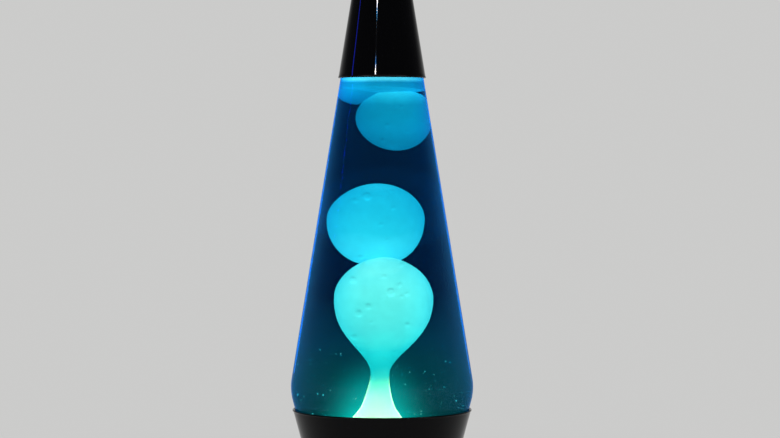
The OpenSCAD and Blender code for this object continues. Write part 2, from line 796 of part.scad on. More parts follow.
// Terminal screws on the sides of the lampholder
module terminal_screws() {
    color("#c9a24d") on_terminals() difference() {
        union() {
            translate([0, 0, -terminal_reach]) cylinder(d = terminal_d, h = terminal_reach);
            cylinder(d = terminal_head_d, h = terminal_head_h);
        }
        translate([-terminal_head_d, -terminal_head_h / 4, terminal_head_h / 2])
            cube([2 * terminal_head_d, terminal_head_h / 2, terminal_head_h]);
    }
}

// Plate that closes the underside
module base_plate() {
    color("#1c1c1f") difference() {
        translate([0, 0, plate_z]) cylinder(r = skirt_r0 - plate_inset, h = plate_t);
        ring_of(screws, screw_ring_r, screw_start) hole(screw_d / 2 + seat_gap, plate_z, stand_z);
        ring_of(vents, vent_ring_r) hole(vent_d / 2, plate_z, stand_z);
    }
}

// Screws that hold the plate to the lip
module plate_screws() {
    color("#5d6065") ring_of(screws, screw_ring_r, screw_start) difference() {
        union() {
            translate([0, 0, plate_z - screw_head_h]) cylinder(d = screw_head_d, h = screw_head_h);
            translate([0, 0, plate_z]) cylinder(d = screw_d, h = plate_t + base_wall + screw_reach);
        }
        for (turn = [0, 90])
            translate([0, 0, plate_z - screw_head_h]) rotate([0, 0, turn])
                cube([screw_head_d / 2, screw_head_d / 8, screw_head_h], center = true);
    }
}

// Rubber feet under the plate
module rubber_feet() {
    edge = foot_pad_h / 4;
    color("#26262a") ring_of(foot_pads, foot_ring_r, 180 / foot_pads) turned([
        [0, 0],
        [foot_pad_d / 2 - edge, 0, edge],
        [foot_pad_d / 2, plate_z],
        [0, plate_z]]);
}

// Snap bushing for the supply cord, in the rear wall
module cord_gland() {
    sag = gland_flange_d * gland_flange_d / 8 / skirt_r(gland_z);
    inner = -base_wall - sag;
    color("#141416") on_gland_axis() difference() {
        union() {
            translate([0, 0, seat_gap]) cylinder(d = gland_flange_d, h = gland_flange_t);
            translate([0, 0, inner - gland_flange_t])
                cylinder(d = gland_d, h = gland_flange_t - inner + seat_gap);
            translate([0, 0, inner - gland_flange_t]) cylinder(d = gland_snap_d, h = gland_flange_t);
        }
        hole(gland_bore_d / 2, inner - gland_flange_t, gland_flange_t + seat_gap);
    }
}

// Glass of the bulb, closed by its stem
module bulb_glass() {
    tip_z = bulb_z + bulb_len;
    seal_z = screw_shell_z + screw_shell_h / 2;
    neck_z = screw_shell_z + screw_shell_h + bulb_neck_h;
    belly_z = tip_z - bulb_r - bulb_belly_h;
    color("#f4f1e6", 0.5) turned([
        [seal_r, seal_z],
        [seal_r, neck_z, bulb_r / 2],
        [bulb_r, belly_z, bulb_r],
        [bulb_r, tip_z, bulb_r - bulb_wall],
        [0, tip_z],
        [0, tip_z - bulb_wall],
        [bulb_r - bulb_wall, tip_z - bulb_wall, bulb_r - 2 * bulb_wall],
        [bulb_r - bulb_wall, belly_z, bulb_r - bulb_wall],
        [seal_r - bulb_wall, neck_z, bulb_r / 2 + bulb_wall],
        [seal_r - bulb_wall, seal_z]]);
}

// Screw shell of the bulb
module bulb_shell() {
    low = screw_shell_z;
    high = screw_shell_z + screw_shell_h;
    outer = waved(thread_r, thread_depth, low, high, thread_pitch);
    n = len(outer);
    color("#c7a04b") rotate_extrude() polygon(concat(
        outer,
        [for (i = [n - 1:-1:0]) outer[i] - [thread_wall, 0]]));
}

// Insulator between the bulb's contact and its screw shell
module bulb_insulator() {
    color("#17171a") turned([
        [0, bulb_z + tip_h],
        [tip_d / 2, bulb_z + tip_h],
        [seal_r, screw_shell_z - seat_gap],
        [seal_r, screw_shell_z + thread_pitch / 2],
        [0, screw_shell_z + thread_pitch / 2]]);
}

// Contact at the bulb's foot
module bulb_contact() {
    color("#b5b1a6") turned([
        [0, bulb_z],
        [tip_d / 4, bulb_z, tip_h / 2],
        [tip_d / 2, bulb_z + tip_h],
        [0, bulb_z + tip_h]]);
}

// Glass stem that carries the bulb's wires
module bulb_stem() {
    low = screw_shell_z + screw_shell_h / 2;
    flare_r = seal_r - bulb_wall - seat_gap;
    color("#e8efe8") turned([
        [0, low],
        [flare_r, low],
        [stem_r, low + flare_r, flare_r / 2],
        [stem_r, stem_top_z, stem_r / 2],
        [0, stem_top_z]]);
}

// Wires that lead from the stem to the filament
module bulb_wires() {
    foot_x = stem_r / 3;
    reach = filament_arc_r - foot_x;
    rise = filament_h + bulb_z - stem_top_z - bulb_wire_d - seat_gap;
    color("#a8a59c") for (side = [0, 1])
        mirror([side, 0, 0]) translate([foot_x, 0, stem_top_z + bulb_wire_d / 2])
            rotate([0, atan(reach / rise), 0]) cylinder(d = bulb_wire_d, h = norm([reach, rise]));
}

// Filament in a half circle between the wires
module bulb_filament() {
    color("#ffd9a0") translate([0, 0, bulb_z + filament_h])
        rotate_extrude(angle = 180) translate([filament_arc_r, 0]) circle(d = bulb_wire_d);
}

echo(coil_gap = coil_gap);

top_cap();
crown_closure();
crown_liner();
glass_bottle();
liquid();
wax_column();
wax_blob_middle();
wax_blob_upper();
wax_top_pool();
heating_coil();
base_cup();
base_skirt();
waist_rivets();
socket_strap();
threaded_nipple();
lock_washer();
nipple_nut();
lampholder_body();
lampholder_shell();
lampholder_contact();
terminal_screws();
base_plate();
plate_screws();
rubber_feet();
cord_gland();
bulb_glass();
bulb_shell();
bulb_insulator();
bulb_contact();
bulb_stem();
bulb_wires();
bulb_filament();
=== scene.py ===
import math
import random

import bmesh
import bpy
from mathutils import Matrix, Vector, noise


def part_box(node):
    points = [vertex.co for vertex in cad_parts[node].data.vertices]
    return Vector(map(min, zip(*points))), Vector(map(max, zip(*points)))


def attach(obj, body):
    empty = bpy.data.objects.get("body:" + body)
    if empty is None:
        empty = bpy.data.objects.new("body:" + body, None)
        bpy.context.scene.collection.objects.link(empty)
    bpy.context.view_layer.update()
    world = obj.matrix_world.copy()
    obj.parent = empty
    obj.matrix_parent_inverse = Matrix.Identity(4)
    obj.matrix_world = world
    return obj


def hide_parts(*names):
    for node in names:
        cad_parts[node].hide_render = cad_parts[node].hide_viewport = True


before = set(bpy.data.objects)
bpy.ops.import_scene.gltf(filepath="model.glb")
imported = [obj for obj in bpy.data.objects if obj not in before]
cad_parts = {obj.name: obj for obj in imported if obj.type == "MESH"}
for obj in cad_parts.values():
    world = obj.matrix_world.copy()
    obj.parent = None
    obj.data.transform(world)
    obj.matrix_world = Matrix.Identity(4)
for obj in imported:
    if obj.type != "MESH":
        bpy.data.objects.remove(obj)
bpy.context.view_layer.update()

scene = bpy.context.scene
scene.view_settings.view_transform = "Standard"

MM = 0.001
TURN = 2 * math.pi
TINY = 1e-7

# Sizes of the lamp that its outlines are drawn from
BOTTLE_R = 45 * MM
CONE_LEAN = math.radians(9.3)
FOOT_LEAN = math.radians(15.2)
BELLY_R = 26 * MM
FOOT_H = 50 * MM
GLASS_WALL = 2.8 * MM
GLASS_FLOOR = 5 * MM
PUSH_UP = 2 * MM
HEEL_R = 5 * MM
INNER_HEEL_R = 8 * MM
SHOULDER_H = 6 * MM
NECK_H = 11 * MM
NECK_R = 12.2 * MM
RING_R = 13.3 * MM
RING_H = 3 * MM
RING_DROP = 1.5 * MM
MOUTH_R = 8 * MM
SHEET = 0.8 * MM
SEAT_GAP = 0.1 * MM
FIT_GAP = 0.3 * MM
CAP_EDGE_R = 2.4 * MM
CAP_CONE_H = 1.5 * MM
CAP_RING_H = 1.7 * MM
CAP_INNER_H = 0.3 * MM
BEAD_TURN = 235
FILAMENT_ARC_R = 7 * MM

# The wax stays clear of the glass by a thin film, and the liquid's surface lies as far inside the glass
FILM = 0.15 * MM
WAX_INSET = GLASS_WALL + FILM
LIQUID_INSET = GLASS_WALL - FILM

# Handle of a cubic curve that follows a quarter of a circle, as a share of the radius
QUARTER = 0.5523

# Longest stretch of an outline, sides of a large round, and angles in degrees from which edges are sharp
LONGEST = 4 * MM
ROUND_SIDES = 192
SHARP_EDGE = 35
SOFT_EDGE = 50

# Heights from the CAD parts
cap_low, cap_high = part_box("top_cap")
bottle_low, bottle_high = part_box("glass_bottle")
cup_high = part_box("base_cup")[1]
widest_z = bottle_low.z + FOOT_H
floor_z = bottle_low.z + GLASS_FLOOR
lip_z = bottle_high.z
neck_z = lip_z - NECK_H
shoulder_z = neck_z - SHOULDER_H
pool_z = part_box("liquid")[0].z - FILM
wax_top_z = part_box("wax_top_pool")[1].z


def cone_r(z, inset=0.0):
    """Radius of the glass's upper cone at a height."""
    rise = (z - widest_z) * math.tan(CONE_LEAN)
    return BOTTLE_R - BELLY_R + (BELLY_R - inset) / math.cos(CONE_LEAN) - rise


def foot_r(z, inset=0.0):
    """Radius of the glass's lower cone at a height."""
    rise = (z - widest_z) * math.tan(FOOT_LEAN)
    return BOTTLE_R - BELLY_R + (BELLY_R - inset) / math.cos(FOOT_LEAN) + rise


def belly(inset=0.0):
    """Rounded corner where the two cones meet."""
    gain = 1 / math.cos(CONE_LEAN) - 1 / math.cos(FOOT_LEAN)
    z = widest_z + (BELLY_R - inset) * gain / (math.tan(CONE_LEAN) + math.tan(FOOT_LEAN))
    return (cone_r(z, inset), z, BELLY_R - inset)


# Outlines and meshes

def fillet(before, corner, after, radius, step=math.radians(4)):
    """Arc that rounds a corner."""
    u = (before - corner).normalized()
    v = (after - corner).normalized()
    half = u.angle(v) / 2
    centre = corner + (u + v).normalized() * radius / math.sin(half)
    first = corner + u * radius / math.tan(half) - centre
    last = corner + v * radius / math.tan(half) - centre
    start = math.atan2(first.y, first.x)
    turn = (math.atan2(last.y, last.x) - start + 3 * math.pi) % TURN - math.pi
    steps = max(4, math.ceil(abs(turn) / step))
    turns = [start + turn * i / steps for i in range(steps + 1)]
    return [centre + radius * Vector((math.cos(a), math.sin(a))) for a in turns]


def outline(corners):
    """Points of an outline whose corners are (x, z) or, where they are rounded, (x, z, radius)."""
    points = []
    count = len(corners)
    for i, corner in enumerate(corners):
        here = Vector(corner[:2])
        if len(corner) == 2:
            points.append(here)
        else:
            before = Vector(corners[i - 1][:2])
            after = Vector(corners[(i + 1) % count][:2])
            points.extend(fillet(before, here, after, corner[2]))
    return points


def divided(points, longest=LONGEST):
    """The same outline with no stretch longer than a given length."""
    result = []
    for a, b in zip(points, points[1:]):
        steps = max(1, math.ceil((b - a).length / longest))
        result.extend(a.lerp(b, i / steps) for i in range(steps))
    return result + [points[-1]]


def curve(a, b, c, d, steps):
    """Points of a cubic curve, without its last one."""
    points = []
    for i in range(steps):
        t = i / steps
        s = 1 - t
        points.append(s ** 3 * a + 3 * s * s * t * b + 3 * s * t * t * c + t ** 3 * d)
    return points


def skin(shape, rings):
    """Faces between rings of points; a ring of one point closes an end."""
    for a, b in zip(rings, rings[1:]):
        count = max(len(a), len(b))
        for i in range(count):
            k = (i + 1) % count
            if len(a) == 1:
                shape.faces.new((a[0], b[k], b[i]))
            elif len(b) == 1:
                shape.faces.new((a[i], a[k], b[0]))
            else:
                shape.faces.new((a[i], a[k], b[k], b[i]))


def turned(points, sides, shape=None, centre=(0, 0)):
    """Shape turned about an upright axis from an outline."""
    shape = shape or bmesh.new()
    rings = []
    for x, z in points:
        if x < TINY:
            rings.append([shape.verts.new((centre[0], centre[1], z))])
            continue
        ring = []
        for i in range(sides):
            a = TURN * i / sides
            ring.append(shape.verts.new((centre[0] + x * math.cos(a), centre[1] + x * math.sin(a), z)))
        rings.append(ring)
    skin(shape, rings)
    return shape


def wound(ring_r, curl_r, z, run, turns, steps):
    """Line of a wire that is wound in turns along an arc."""
    points = []
    for i in range(turns * steps + 1):
        a = run * i / (turns * steps)
        b = TURN * i / steps
        out = Vector((math.cos(a), math.sin(a), 0))
        points.append(out * (ring_r + curl_r * math.cos(b)) + Vector((0, 0, z + curl_r * math.sin(b))))
    return points


def swept(shape, points, radius, sides):
    """Round wire along a line of points, closed at both ends."""
    rings = []
    side = None
    for i, point in enumerate(points):
        along = points[min(i + 1, len(points) - 1)] - points[max(i - 1, 0)]
        along.normalize()
        if side is None:
            side = along.orthogonal()
        side = (side - along * side.dot(along)).normalized()
        other = along.cross(side)
        ring = []
        for k in range(sides):
            a = TURN * k / sides
            ring.append(shape.verts.new(point + radius * (math.cos(a) * side + math.sin(a) * other)))
        rings.append(ring)
    skin(shape, rings)
    shape.faces.new(rings[0])
    shape.faces.new(rings[-1])


def add_piece(name, shape, look, body, nodes=(), sharp=SHARP_EDGE):
    """Makes a piece from a shape, which rides on a body and may stand for CAD nodes."""
    bmesh.ops.recalc_face_normals(shape, faces=shape.faces)
    mesh = bpy.data.meshes.new(name)
    shape.to_mesh(mesh)
    shape.free()
    mesh.shade_smooth()
    mesh.set_sharp_from_angle(angle=math.radians(sharp))
    mesh.materials.append(look)
    piece = bpy.data.objects.new(name, mesh)
    scene.collection.objects.link(piece)
    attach(piece, body)
    if nodes:
        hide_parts(*nodes)
    return piece


# Materials

def linear(red, green, blue):
    """Light of a display colour given from 0 to 255."""
    values = []
    for part in (red, green, blue):
        part /= 255
        values.append(part / 12.92 if part <= 0.04045 else ((part + 0.055) / 1.055) ** 2.4)
    return tuple(values)


class Look:
    """A node material around one Principled shader, with detail in object space."""

    def __init__(self, name, values):
        self.material = bpy.data.materials.new(name)
        self.material.use_nodes = True
        self.nodes = self.material.node_tree.nodes
        self.links = self.material.node_tree.links
        self.shader = self.nodes["Principled BSDF"]
        self.place = self.add("ShaderNodeTexCoord").outputs["Object"]
        for socket, value in values.items():
            if socket.endswith(("Color", "Tint")) and len(value) == 3:
                value = (*value, 1)
            self.shader.inputs[socket].default_value = value

    def add(self, kind, **settings):
        """Adds a node with the settings that are given."""
        node = self.nodes.new(kind)
        for key, value in settings.items():
            setattr(node, key, value)
        return node

    def feed(self, socket, source):
        """Links a value to one of the shader's inputs."""
        self.links.new(source, self.shader.inputs[socket])

    def stretched(self, scale):
        """Places in object space, scaled along each axis."""
        node = self.add("ShaderNodeMapping")
        self.links.new(self.place, node.inputs["Vector"])
        node.inputs["Scale"].default_value = scale
        return node.outputs["Vector"]

    def grain(self, scale, detail=2.0, rough=0.5, place=None):
        """Noise from 0 to 1."""
        node = self.add("ShaderNodeTexNoise")
        self.links.new(place or self.place, node.inputs["Vector"])
        node.inputs["Scale"].default_value = scale
        node.inputs["Detail"].default_value = detail
        node.inputs["Roughness"].default_value = rough
        return node.outputs["Fac"]

    def spread(self, source, low, high, to_low=0.0, to_high=1.0):
        """Maps one range of a value to another, held at the ends."""
        node = self.add("ShaderNodeMapRange")
        self.links.new(source, node.inputs["Value"])
        node.inputs["From Min"].default_value = low
        node.inputs["From Max"].default_value = high
        node.inputs["To Min"].default_value = to_low
        node.inputs["To Max"].default_value = to_high
        return node.outputs["Result"]

    def axis(self, name):
        """One coordinate in object space."""
        node = self.add("ShaderNodeSeparateXYZ")
        self.links.new(self.place, node.inputs["Vector"])
        return node.outputs[name]

    def aside(self):
        """Distance to either side of the axis."""
        return self.math("ABSOLUTE", self.axis("X"), 0.0)

    def math(self, operation, a, b):
        """Works on two values, each a float or a node's output."""
        node = self.add("ShaderNodeMath", operation=operation)
        for socket, value in zip(node.inputs, (a, b)):
            if isinstance(value, float):
                socket.default_value = value
            else:
                self.links.new(value, socket)
        return node.outputs["Value"]

    def ramp(self, source, stops):
        """Colours along a value; each stop is a place from 0 to 1 and a colour."""
        node = self.add("ShaderNodeValToRGB")
        self.links.new(source, node.inputs["Fac"])
        parts = node.color_ramp.elements
        while len(parts) < len(stops):
            parts.new(0.5)
        for part, (where, colour) in zip(parts, stops):
            part.position = where
            part.color = (*colour, 1)
        return node.outputs["Color"]

    def bump(self, height, depth, strength):
        """Roughens the shading by a height."""
        node = self.add("ShaderNodeBump")
        self.links.new(height, node.inputs["Height"])
        node.inputs["Distance"].default_value = depth
        node.inputs["Strength"].default_value = strength
        self.feed("Normal", node.outputs["Normal"])

    def fill(self, volume):
        """Fills the space inside with a volume's shader."""
        self.links.new(volume, self.nodes["Material Output"].inputs["Volume"])


RUBBED_REACH = 1.3 * MM


def gloss_black(name, rim_z):
    """Gloss black enamel on sheet metal: orange peel, faint smears, dust, and a rubbed rim."""
    look = Look(name, {"Specular IOR Level": 0.11})
    smear = look.grain(28, 3.0, 0.55, look.stretched((1, 1, 0.35)))
    look.feed("Roughness", look.spread(smear, 0.35, 0.75, 0.02, 0.05))
    dust = look.spread(look.grain(1500, 1.0), 0.74, 0.8)
    from_rim = look.math("ABSOLUTE", look.math("SUBTRACT", look.axis("Z"), rim_z), 0.0)
    away = look.spread(from_rim, 0.0, RUBBED_REACH)
    rubbed = look.math("GREATER_THAN", look.grain(420, 3.0), look.math("ADD", away, 0.62))
    marks = look.math("MAXIMUM", look.math("MULTIPLY", dust, 0.22), look.math("MULTIPLY", rubbed, 0.8))
    look.feed("Base Color", look.ramp(marks, [(0, (0.0012, 0.0012, 0.0018)), (1, (0.07, 0.07, 0.08))]))
    look.bump(look.grain(700, 1.5), 0.012 * MM, 0.12)
    return look.material


GLASS_TINT = (0.45, 0.8, 1.0)


def clear_glass(name, edge):
    """Clear pressed glass, a little uneven, whose edges turn blue."""
    look = Look(name, {
        "Base Color": (0.97, 0.985, 1.0), "Transmission Weight": 1.0, "IOR": 1.16,
        "Coat Weight": 1.0, "Coat Tint": GLASS_TINT, "Coat IOR": 1.02, "Coat Roughness": 0.0,
        "Sheen Weight": edge, "Sheen Tint": (0.0, 0.32, 1.0), "Sheen Roughness": 0.4})
    look.feed("Roughness", look.spread(look.grain(60, 3.0), 0.4, 0.8, 0.0, 0.025))
    look.bump(look.grain(45, 1.5, 0.4, look.stretched((1, 1, 0.4))), 0.25 * MM, 0.25)
    return look.material


# The liquid's dye low down and high up, the light that it takes per metre, and heights in millimetres where
# the dye changes and where the painted glow fades
DYE_LOW = (0.1, 0.13, 0.06)
DYE_HIGH = (0.12, 0.14, 0.115)
DYE_FADE = (135, 200)
PAINTED_GLOW_FADE = (112, 306)
LIQUID_LOSS = (80, 30, 20)

# Blender's absorption takes a density and a colour, which falls short of white by each loss's share of it
LOSS_DENSITY = 85


def blue_liquid():
    """Blue dyed liquid, with painted glow in it for the bulb's light, which fades upwards."""
    look = Look("blue_liquid", {
        "Transmission Weight": 1.0, "IOR": 1.35, "Roughness": 0.0, "Emission Strength": 1.0})
    faded = look.spread(look.axis("Z"), DYE_FADE[0] * MM, DYE_FADE[1] * MM)
    look.feed("Base Color", look.ramp(faded, [(0, DYE_LOW), (1, DYE_HIGH)]))
    # Painted glow: emission, teal near the bottom, that stands in for the bulb's light in the liquid
    height = look.spread(look.axis("Z"), PAINTED_GLOW_FADE[0] * MM, PAINTED_GLOW_FADE[1] * MM)
    cloud = look.spread(look.grain(38, 3.0), 0.3, 0.7, -0.02, 0.02)
    look.feed("Emission Color", look.ramp(look.math("ADD", height, cloud), [
        (0.0, (0.0006, 0.034, 0.027)),
        (0.1, (0.0006, 0.048, 0.036)),
        (0.2, (0.0003, 0.048, 0.045)),
        (0.27, (0.0002, 0.034, 0.046)),
        (0.38, (0.0, 0.003, 0.01)),
        (0.6, (0.0, 0.002, 0.008)),
        (1.0, (0.0, 0.002, 0.008))]))
    loss = look.add("ShaderNodeVolumeAbsorption")
    loss.inputs["Color"].default_value = (*[1 - part / LOSS_DENSITY for part in LIQUID_LOSS], 1)
    loss.inputs["Density"].default_value = LOSS_DENSITY
    look.fill(loss.outputs["Volume"])
    return look.material


# Where the wax's painted glow changes to its left and towards both sides, in millimetres from the axis
LEFT_GLOW_FADE = (-14, -4)
SIDE_GLOW_FADE = (8, 17)


def painted_glow_wax(name, stops, drifting=0.03, painted_left_glow=1.0, sides=1.0):
    """Wax whose light from the bulb below is painted on as glow.

    Each stop is a height and a depth in the liquid, in millimetres, and the colour of painted glow that
    shows there. The stops drift by a share of their range, and the painted glow changes by a factor to the
    left and to both sides.
    """
    light = []
    for height, depth, colour in stops:
        shown = linear(*colour)
        faded = min(1, max(0, (height - DYE_FADE[0]) / (DYE_FADE[1] - DYE_FADE[0])))
        dyes = Vector(DYE_LOW).lerp(Vector(DYE_HIGH), faded)
        passed = [
            math.sqrt(dye) * tint ** 2 * math.exp(-loss * depth * MM)
            for dye, tint, loss in zip(dyes, GLASS_TINT, LIQUID_LOSS)]
        light.append([s / p for s, p in zip(shown, passed)])
    peak = max(max(colour) for colour in light)
    low = stops[0][0]
    high = stops[-1][0]
    look = Look(name, {"Base Color": (0.04, 0.3, 0.32), "Emission Strength": peak})
    look.feed("Roughness", look.spread(look.grain(160, 2.0), 0.3, 0.7, 0.3, 0.45))
    height = look.spread(look.axis("Z"), low * MM, high * MM)
    drift = look.spread(look.grain(55, 2.0), 0.3, 0.7, -drifting, drifting)
    shades = []
    for stop, colour in zip(stops, light):
        shades.append(((stop[0] - low) / (high - low), [part / peak for part in colour]))
    glow = look.ramp(look.math("ADD", height, drift), shades)
    # Painted shade and light on the bubbles, from the attribute that dimples() writes
    bubble_painted_shade = look.add("ShaderNodeAttribute", attribute_name="bubble_painted_shade")
    mottle = look.spread(look.grain(240, 3.0, 0.6), 0.25, 0.75, 0.95, 1.05)
    scale = look.math("MULTIPLY", mottle, look.math("ADD", bubble_painted_shade.outputs["Fac"], 1.0))
    # The painted glow is scaled by one factor to the left and by another towards both sides
    left_glow_gain = look.spread(look.axis("X"), LEFT_GLOW_FADE[0] * MM, LEFT_GLOW_FADE[1] * MM, painted_left_glow, 1.0)
    side_glow_gain = look.spread(look.aside(), SIDE_GLOW_FADE[0] * MM, SIDE_GLOW_FADE[1] * MM, 1.0, sides)
    scale = look.math("MULTIPLY", look.math("MULTIPLY", scale, left_glow_gain), side_glow_gain)
    scaled = look.add("ShaderNodeVectorMath", operation="SCALE")
    look.links.new(glow, scaled.inputs[0])
    look.links.new(scale, scaled.inputs["Scale"])
    look.feed("Emission Color", scaled.outputs["Vector"])
    look.bump(look.grain(90, 2.0), 0.3 * MM, 0.3)
    return look.material


def metal(name, colour, dark, rough, streak):
    """Bare or plated metal with fine streaks, dull patches and small marks."""
    look = Look(name, {"Metallic": 1.0})
    patch = look.grain(120, 3.0, 0.6)
    look.feed("Base Color", look.ramp(look.spread(patch, 0.3, 0.75), [(0, colour), (1, dark)]))
    lines = look.grain(300, 2.0, 0.6, look.stretched(streak))
    look.feed("Roughness", look.spread(lines, 0.3, 0.7, rough - 0.08, rough + 0.12))
    look.bump(lines, 0.02 * MM, 0.4)
    return look.material


def dull(name, colour, other, rough, depth, scale):
    """Moulded or coated surface with grain and slight changes of colour."""
    look = Look(name, {})
    patch = look.spread(look.grain(scale / 5, 3.0), 0.3, 0.7)
    look.feed("Base Color", look.ramp(patch, [(0, colour), (1, other)]))
    look.feed("Roughness", look.spread(look.grain(scale / 3, 2.0), 0.3, 0.7, rough - 0.08, rough + 0.08))
    look.bump(look.grain(scale, 2.0), depth, 0.5)
    return look.material


black_cap = gloss_black("gloss_black_cap", cap_low.z)
black_base = gloss_black("gloss_black_base", cup_high.z)
liquid_look = blue_liquid()

# The bottle's glass in bands, whose edges are bluer the higher they lie
GLASS_BANDS = 8
BAND_LOW = 125 * MM
BAND_HIGH = 215 * MM
EDGE_LOW = 0.1
EDGE_HIGH = 0.5
glass_bands = []
for i in range(GLASS_BANDS):
    edge = EDGE_LOW + (EDGE_HIGH - EDGE_LOW) * i / (GLASS_BANDS - 1)
    glass_bands.append(clear_glass(f"clear_glass_{i + 1}", edge))

steel = metal("bare_steel", (0.56, 0.56, 0.55), (0.36, 0.35, 0.34), 0.34, (1, 1, 6))
tin = metal("tinned_steel", (0.72, 0.72, 0.72), (0.52, 0.52, 0.54), 0.24, (4, 1, 1))
brass = metal("brass", (0.83, 0.58, 0.24), (0.55, 0.35, 0.13), 0.26, (1, 1, 5))
porcelain = dull("porcelain", (0.78, 0.75, 0.67), (0.66, 0.63, 0.55), 0.22, 0.02 * MM, 500)
black_steel = dull("black_steel", (0.018, 0.018, 0.02), (0.03, 0.03, 0.032), 0.42, 0.03 * MM, 900)
rubber = dull("rubber", (0.016, 0.016, 0.017), (0.03, 0.03, 0.03), 0.75, 0.06 * MM, 1500)
nylon = dull("black_nylon", (0.012, 0.012, 0.013), (0.02, 0.02, 0.021), 0.4, 0.03 * MM, 1200)
liner = dull("liner", (0.62, 0.58, 0.48), (0.5, 0.46, 0.37), 0.55, 0.03 * MM, 900)
black_glass = dull("black_glass", (0.008, 0.007, 0.011), (0.02, 0.016, 0.026), 0.16, 0.02 * MM, 700)


def bulb_clear():
    """Clear thin glass of the bulb with a faint grey bloom."""
    look = Look("bulb_glass", {"Base Color": (0.98, 0.98, 0.97), "Transmission Weight": 1.0, "IOR": 1.48})
    look.feed("Roughness", look.spread(look.grain(90, 3.0), 0.4, 0.8, 0.0, 0.06))
    look.bump(look.grain(120, 1.0), 0.05 * MM, 0.2)
    return look.material


def glowing_wire():
    """Filament that glows, brighter in the middle of its arc."""
    look = Look("filament", {"Base Color": (0.2, 0.17, 0.14), "Roughness": 0.5, "Emission Strength": 9.0})
    glow = look.spread(look.aside(), 0.0, FILAMENT_ARC_R)
    look.feed("Emission Color", look.ramp(glow, [
        (0, (1.0, 0.62, 0.25)),
        (0.8, (1.0, 0.5, 0.16)),
        (1, (0.5, 0.16, 0.03))]))
    return look.material


bulb_glass_look = bulb_clear()
filament_look = glowing_wire()

# Cap: sheet metal cone, closed above, with a rolled rim
bead_r = SHEET / 2 + SEAT_GAP
cap_rim_z = cap_low.z + bead_r
bead_x = cone_r(cap_rim_z, -FIT_GAP) + bead_r


def bead(steps=14):
    """Arc of the cap's rolled rim."""
    turns = [math.radians(BEAD_TURN * i / steps - 180) for i in range(steps + 1)]
    return [Vector((bead_x + bead_r * math.cos(a), cap_rim_z + bead_r * math.sin(a))) for a in turns]


# A second ring close above the rim keeps smooth shading from bending the reflections on the cone
cap_points = bead() + outline([
    (cone_r(cap_rim_z + CAP_CONE_H, -FIT_GAP - SHEET), cap_rim_z + CAP_CONE_H),
    (cone_r(cap_rim_z + CAP_RING_H, -FIT_GAP - SHEET), cap_rim_z + CAP_RING_H),
    (cone_r(cap_high.z, -FIT_GAP - SHEET), cap_high.z, CAP_EDGE_R),
    (0, cap_high.z),
    (0, cap_high.z - SHEET),
    (cone_r(cap_high.z - SHEET, -FIT_GAP), cap_high.z - SHEET, CAP_EDGE_R - SHEET),
    (cone_r(cap_rim_z, -FIT_GAP), cap_rim_z + CAP_INNER_H)])


def axis_first(points):
    """Reorders a closed outline so that it starts and ends on the axis."""
    starts = [i for i, point in enumerate(points) if point.x < TINY]
    return points[starts[1]:] + points[:starts[0] + 1]


cap_shape = turned(divided(axis_first(cap_points)), ROUND_SIDES)
cap = add_piece("cap_shell", cap_shape, black_cap, "cap", ["top_cap"])

# Bottle
bottle_points = outline([
    (0, bottle_low.z + PUSH_UP),
    (foot_r(bottle_low.z) - 2 * HEEL_R, bottle_low.z, HEEL_R),
    (foot_r(bottle_low.z), bottle_low.z, HEEL_R),
    belly(),
    (cone_r(shoulder_z), shoulder_z, HEEL_R),
    (NECK_R, neck_z, HEEL_R / 2),
    (NECK_R, lip_z - RING_DROP - RING_H),
    (RING_R, lip_z - RING_DROP - RING_H, RING_DROP / 2),
    (RING_R, lip_z - RING_DROP, RING_DROP / 2),
    (NECK_R, lip_z, RING_DROP / 2),
    (MOUTH_R, lip_z, RING_DROP / 2),
    (MOUTH_R, neck_z, HEEL_R),
    (cone_r(shoulder_z, GLASS_WALL), shoulder_z, HEEL_R),
    belly(GLASS_WALL),
    (foot_r(floor_z, GLASS_WALL), floor_z, INNER_HEEL_R),
    (0, floor_z)])
bottle_shape = turned(divided(bottle_points), ROUND_SIDES)
bottle = add_piece("bottle_glass", bottle_shape, glass_bands[0], "globe", ["glass_bottle"])
for band in glass_bands[1:]:
    bottle.data.materials.append(band)
for face in bottle.data.polygons:
    part = (face.center.z - BAND_LOW) / (BAND_HIGH - BAND_LOW)
    face.material_index = min(GLASS_BANDS - 1, max(0, int(part * GLASS_BANDS)))

# Liquid: fills the bottle from its floor to the surface, with a raised edge where it wets the glass
WET_RISE = 0.8 * MM
WET_BEND = 0.6 * MM
WET_BEND_RISE = 0.25 * MM
WET_WIDTH = 1.8 * MM
LIQUID_SIDES = 160
wet_r = cone_r(wax_top_z, LIQUID_INSET)
liquid_points = outline([
    (0, floor_z - FILM),
    (foot_r(floor_z - FILM, LIQUID_INSET), floor_z - FILM, INNER_HEEL_R),
    belly(LIQUID_INSET),
    (cone_r(wax_top_z + WET_RISE, LIQUID_INSET), wax_top_z + WET_RISE),
    (wet_r - WET_BEND, wax_top_z + WET_BEND_RISE),
    (wet_r - WET_WIDTH, wax_top_z),
    (0, wax_top_z)])
liquid_shape = turned(divided(liquid_points), LIQUID_SIDES)
add_piece("dyed_liquid", liquid_shape, liquid_look, "globe", ["liquid"], SOFT_EDGE)

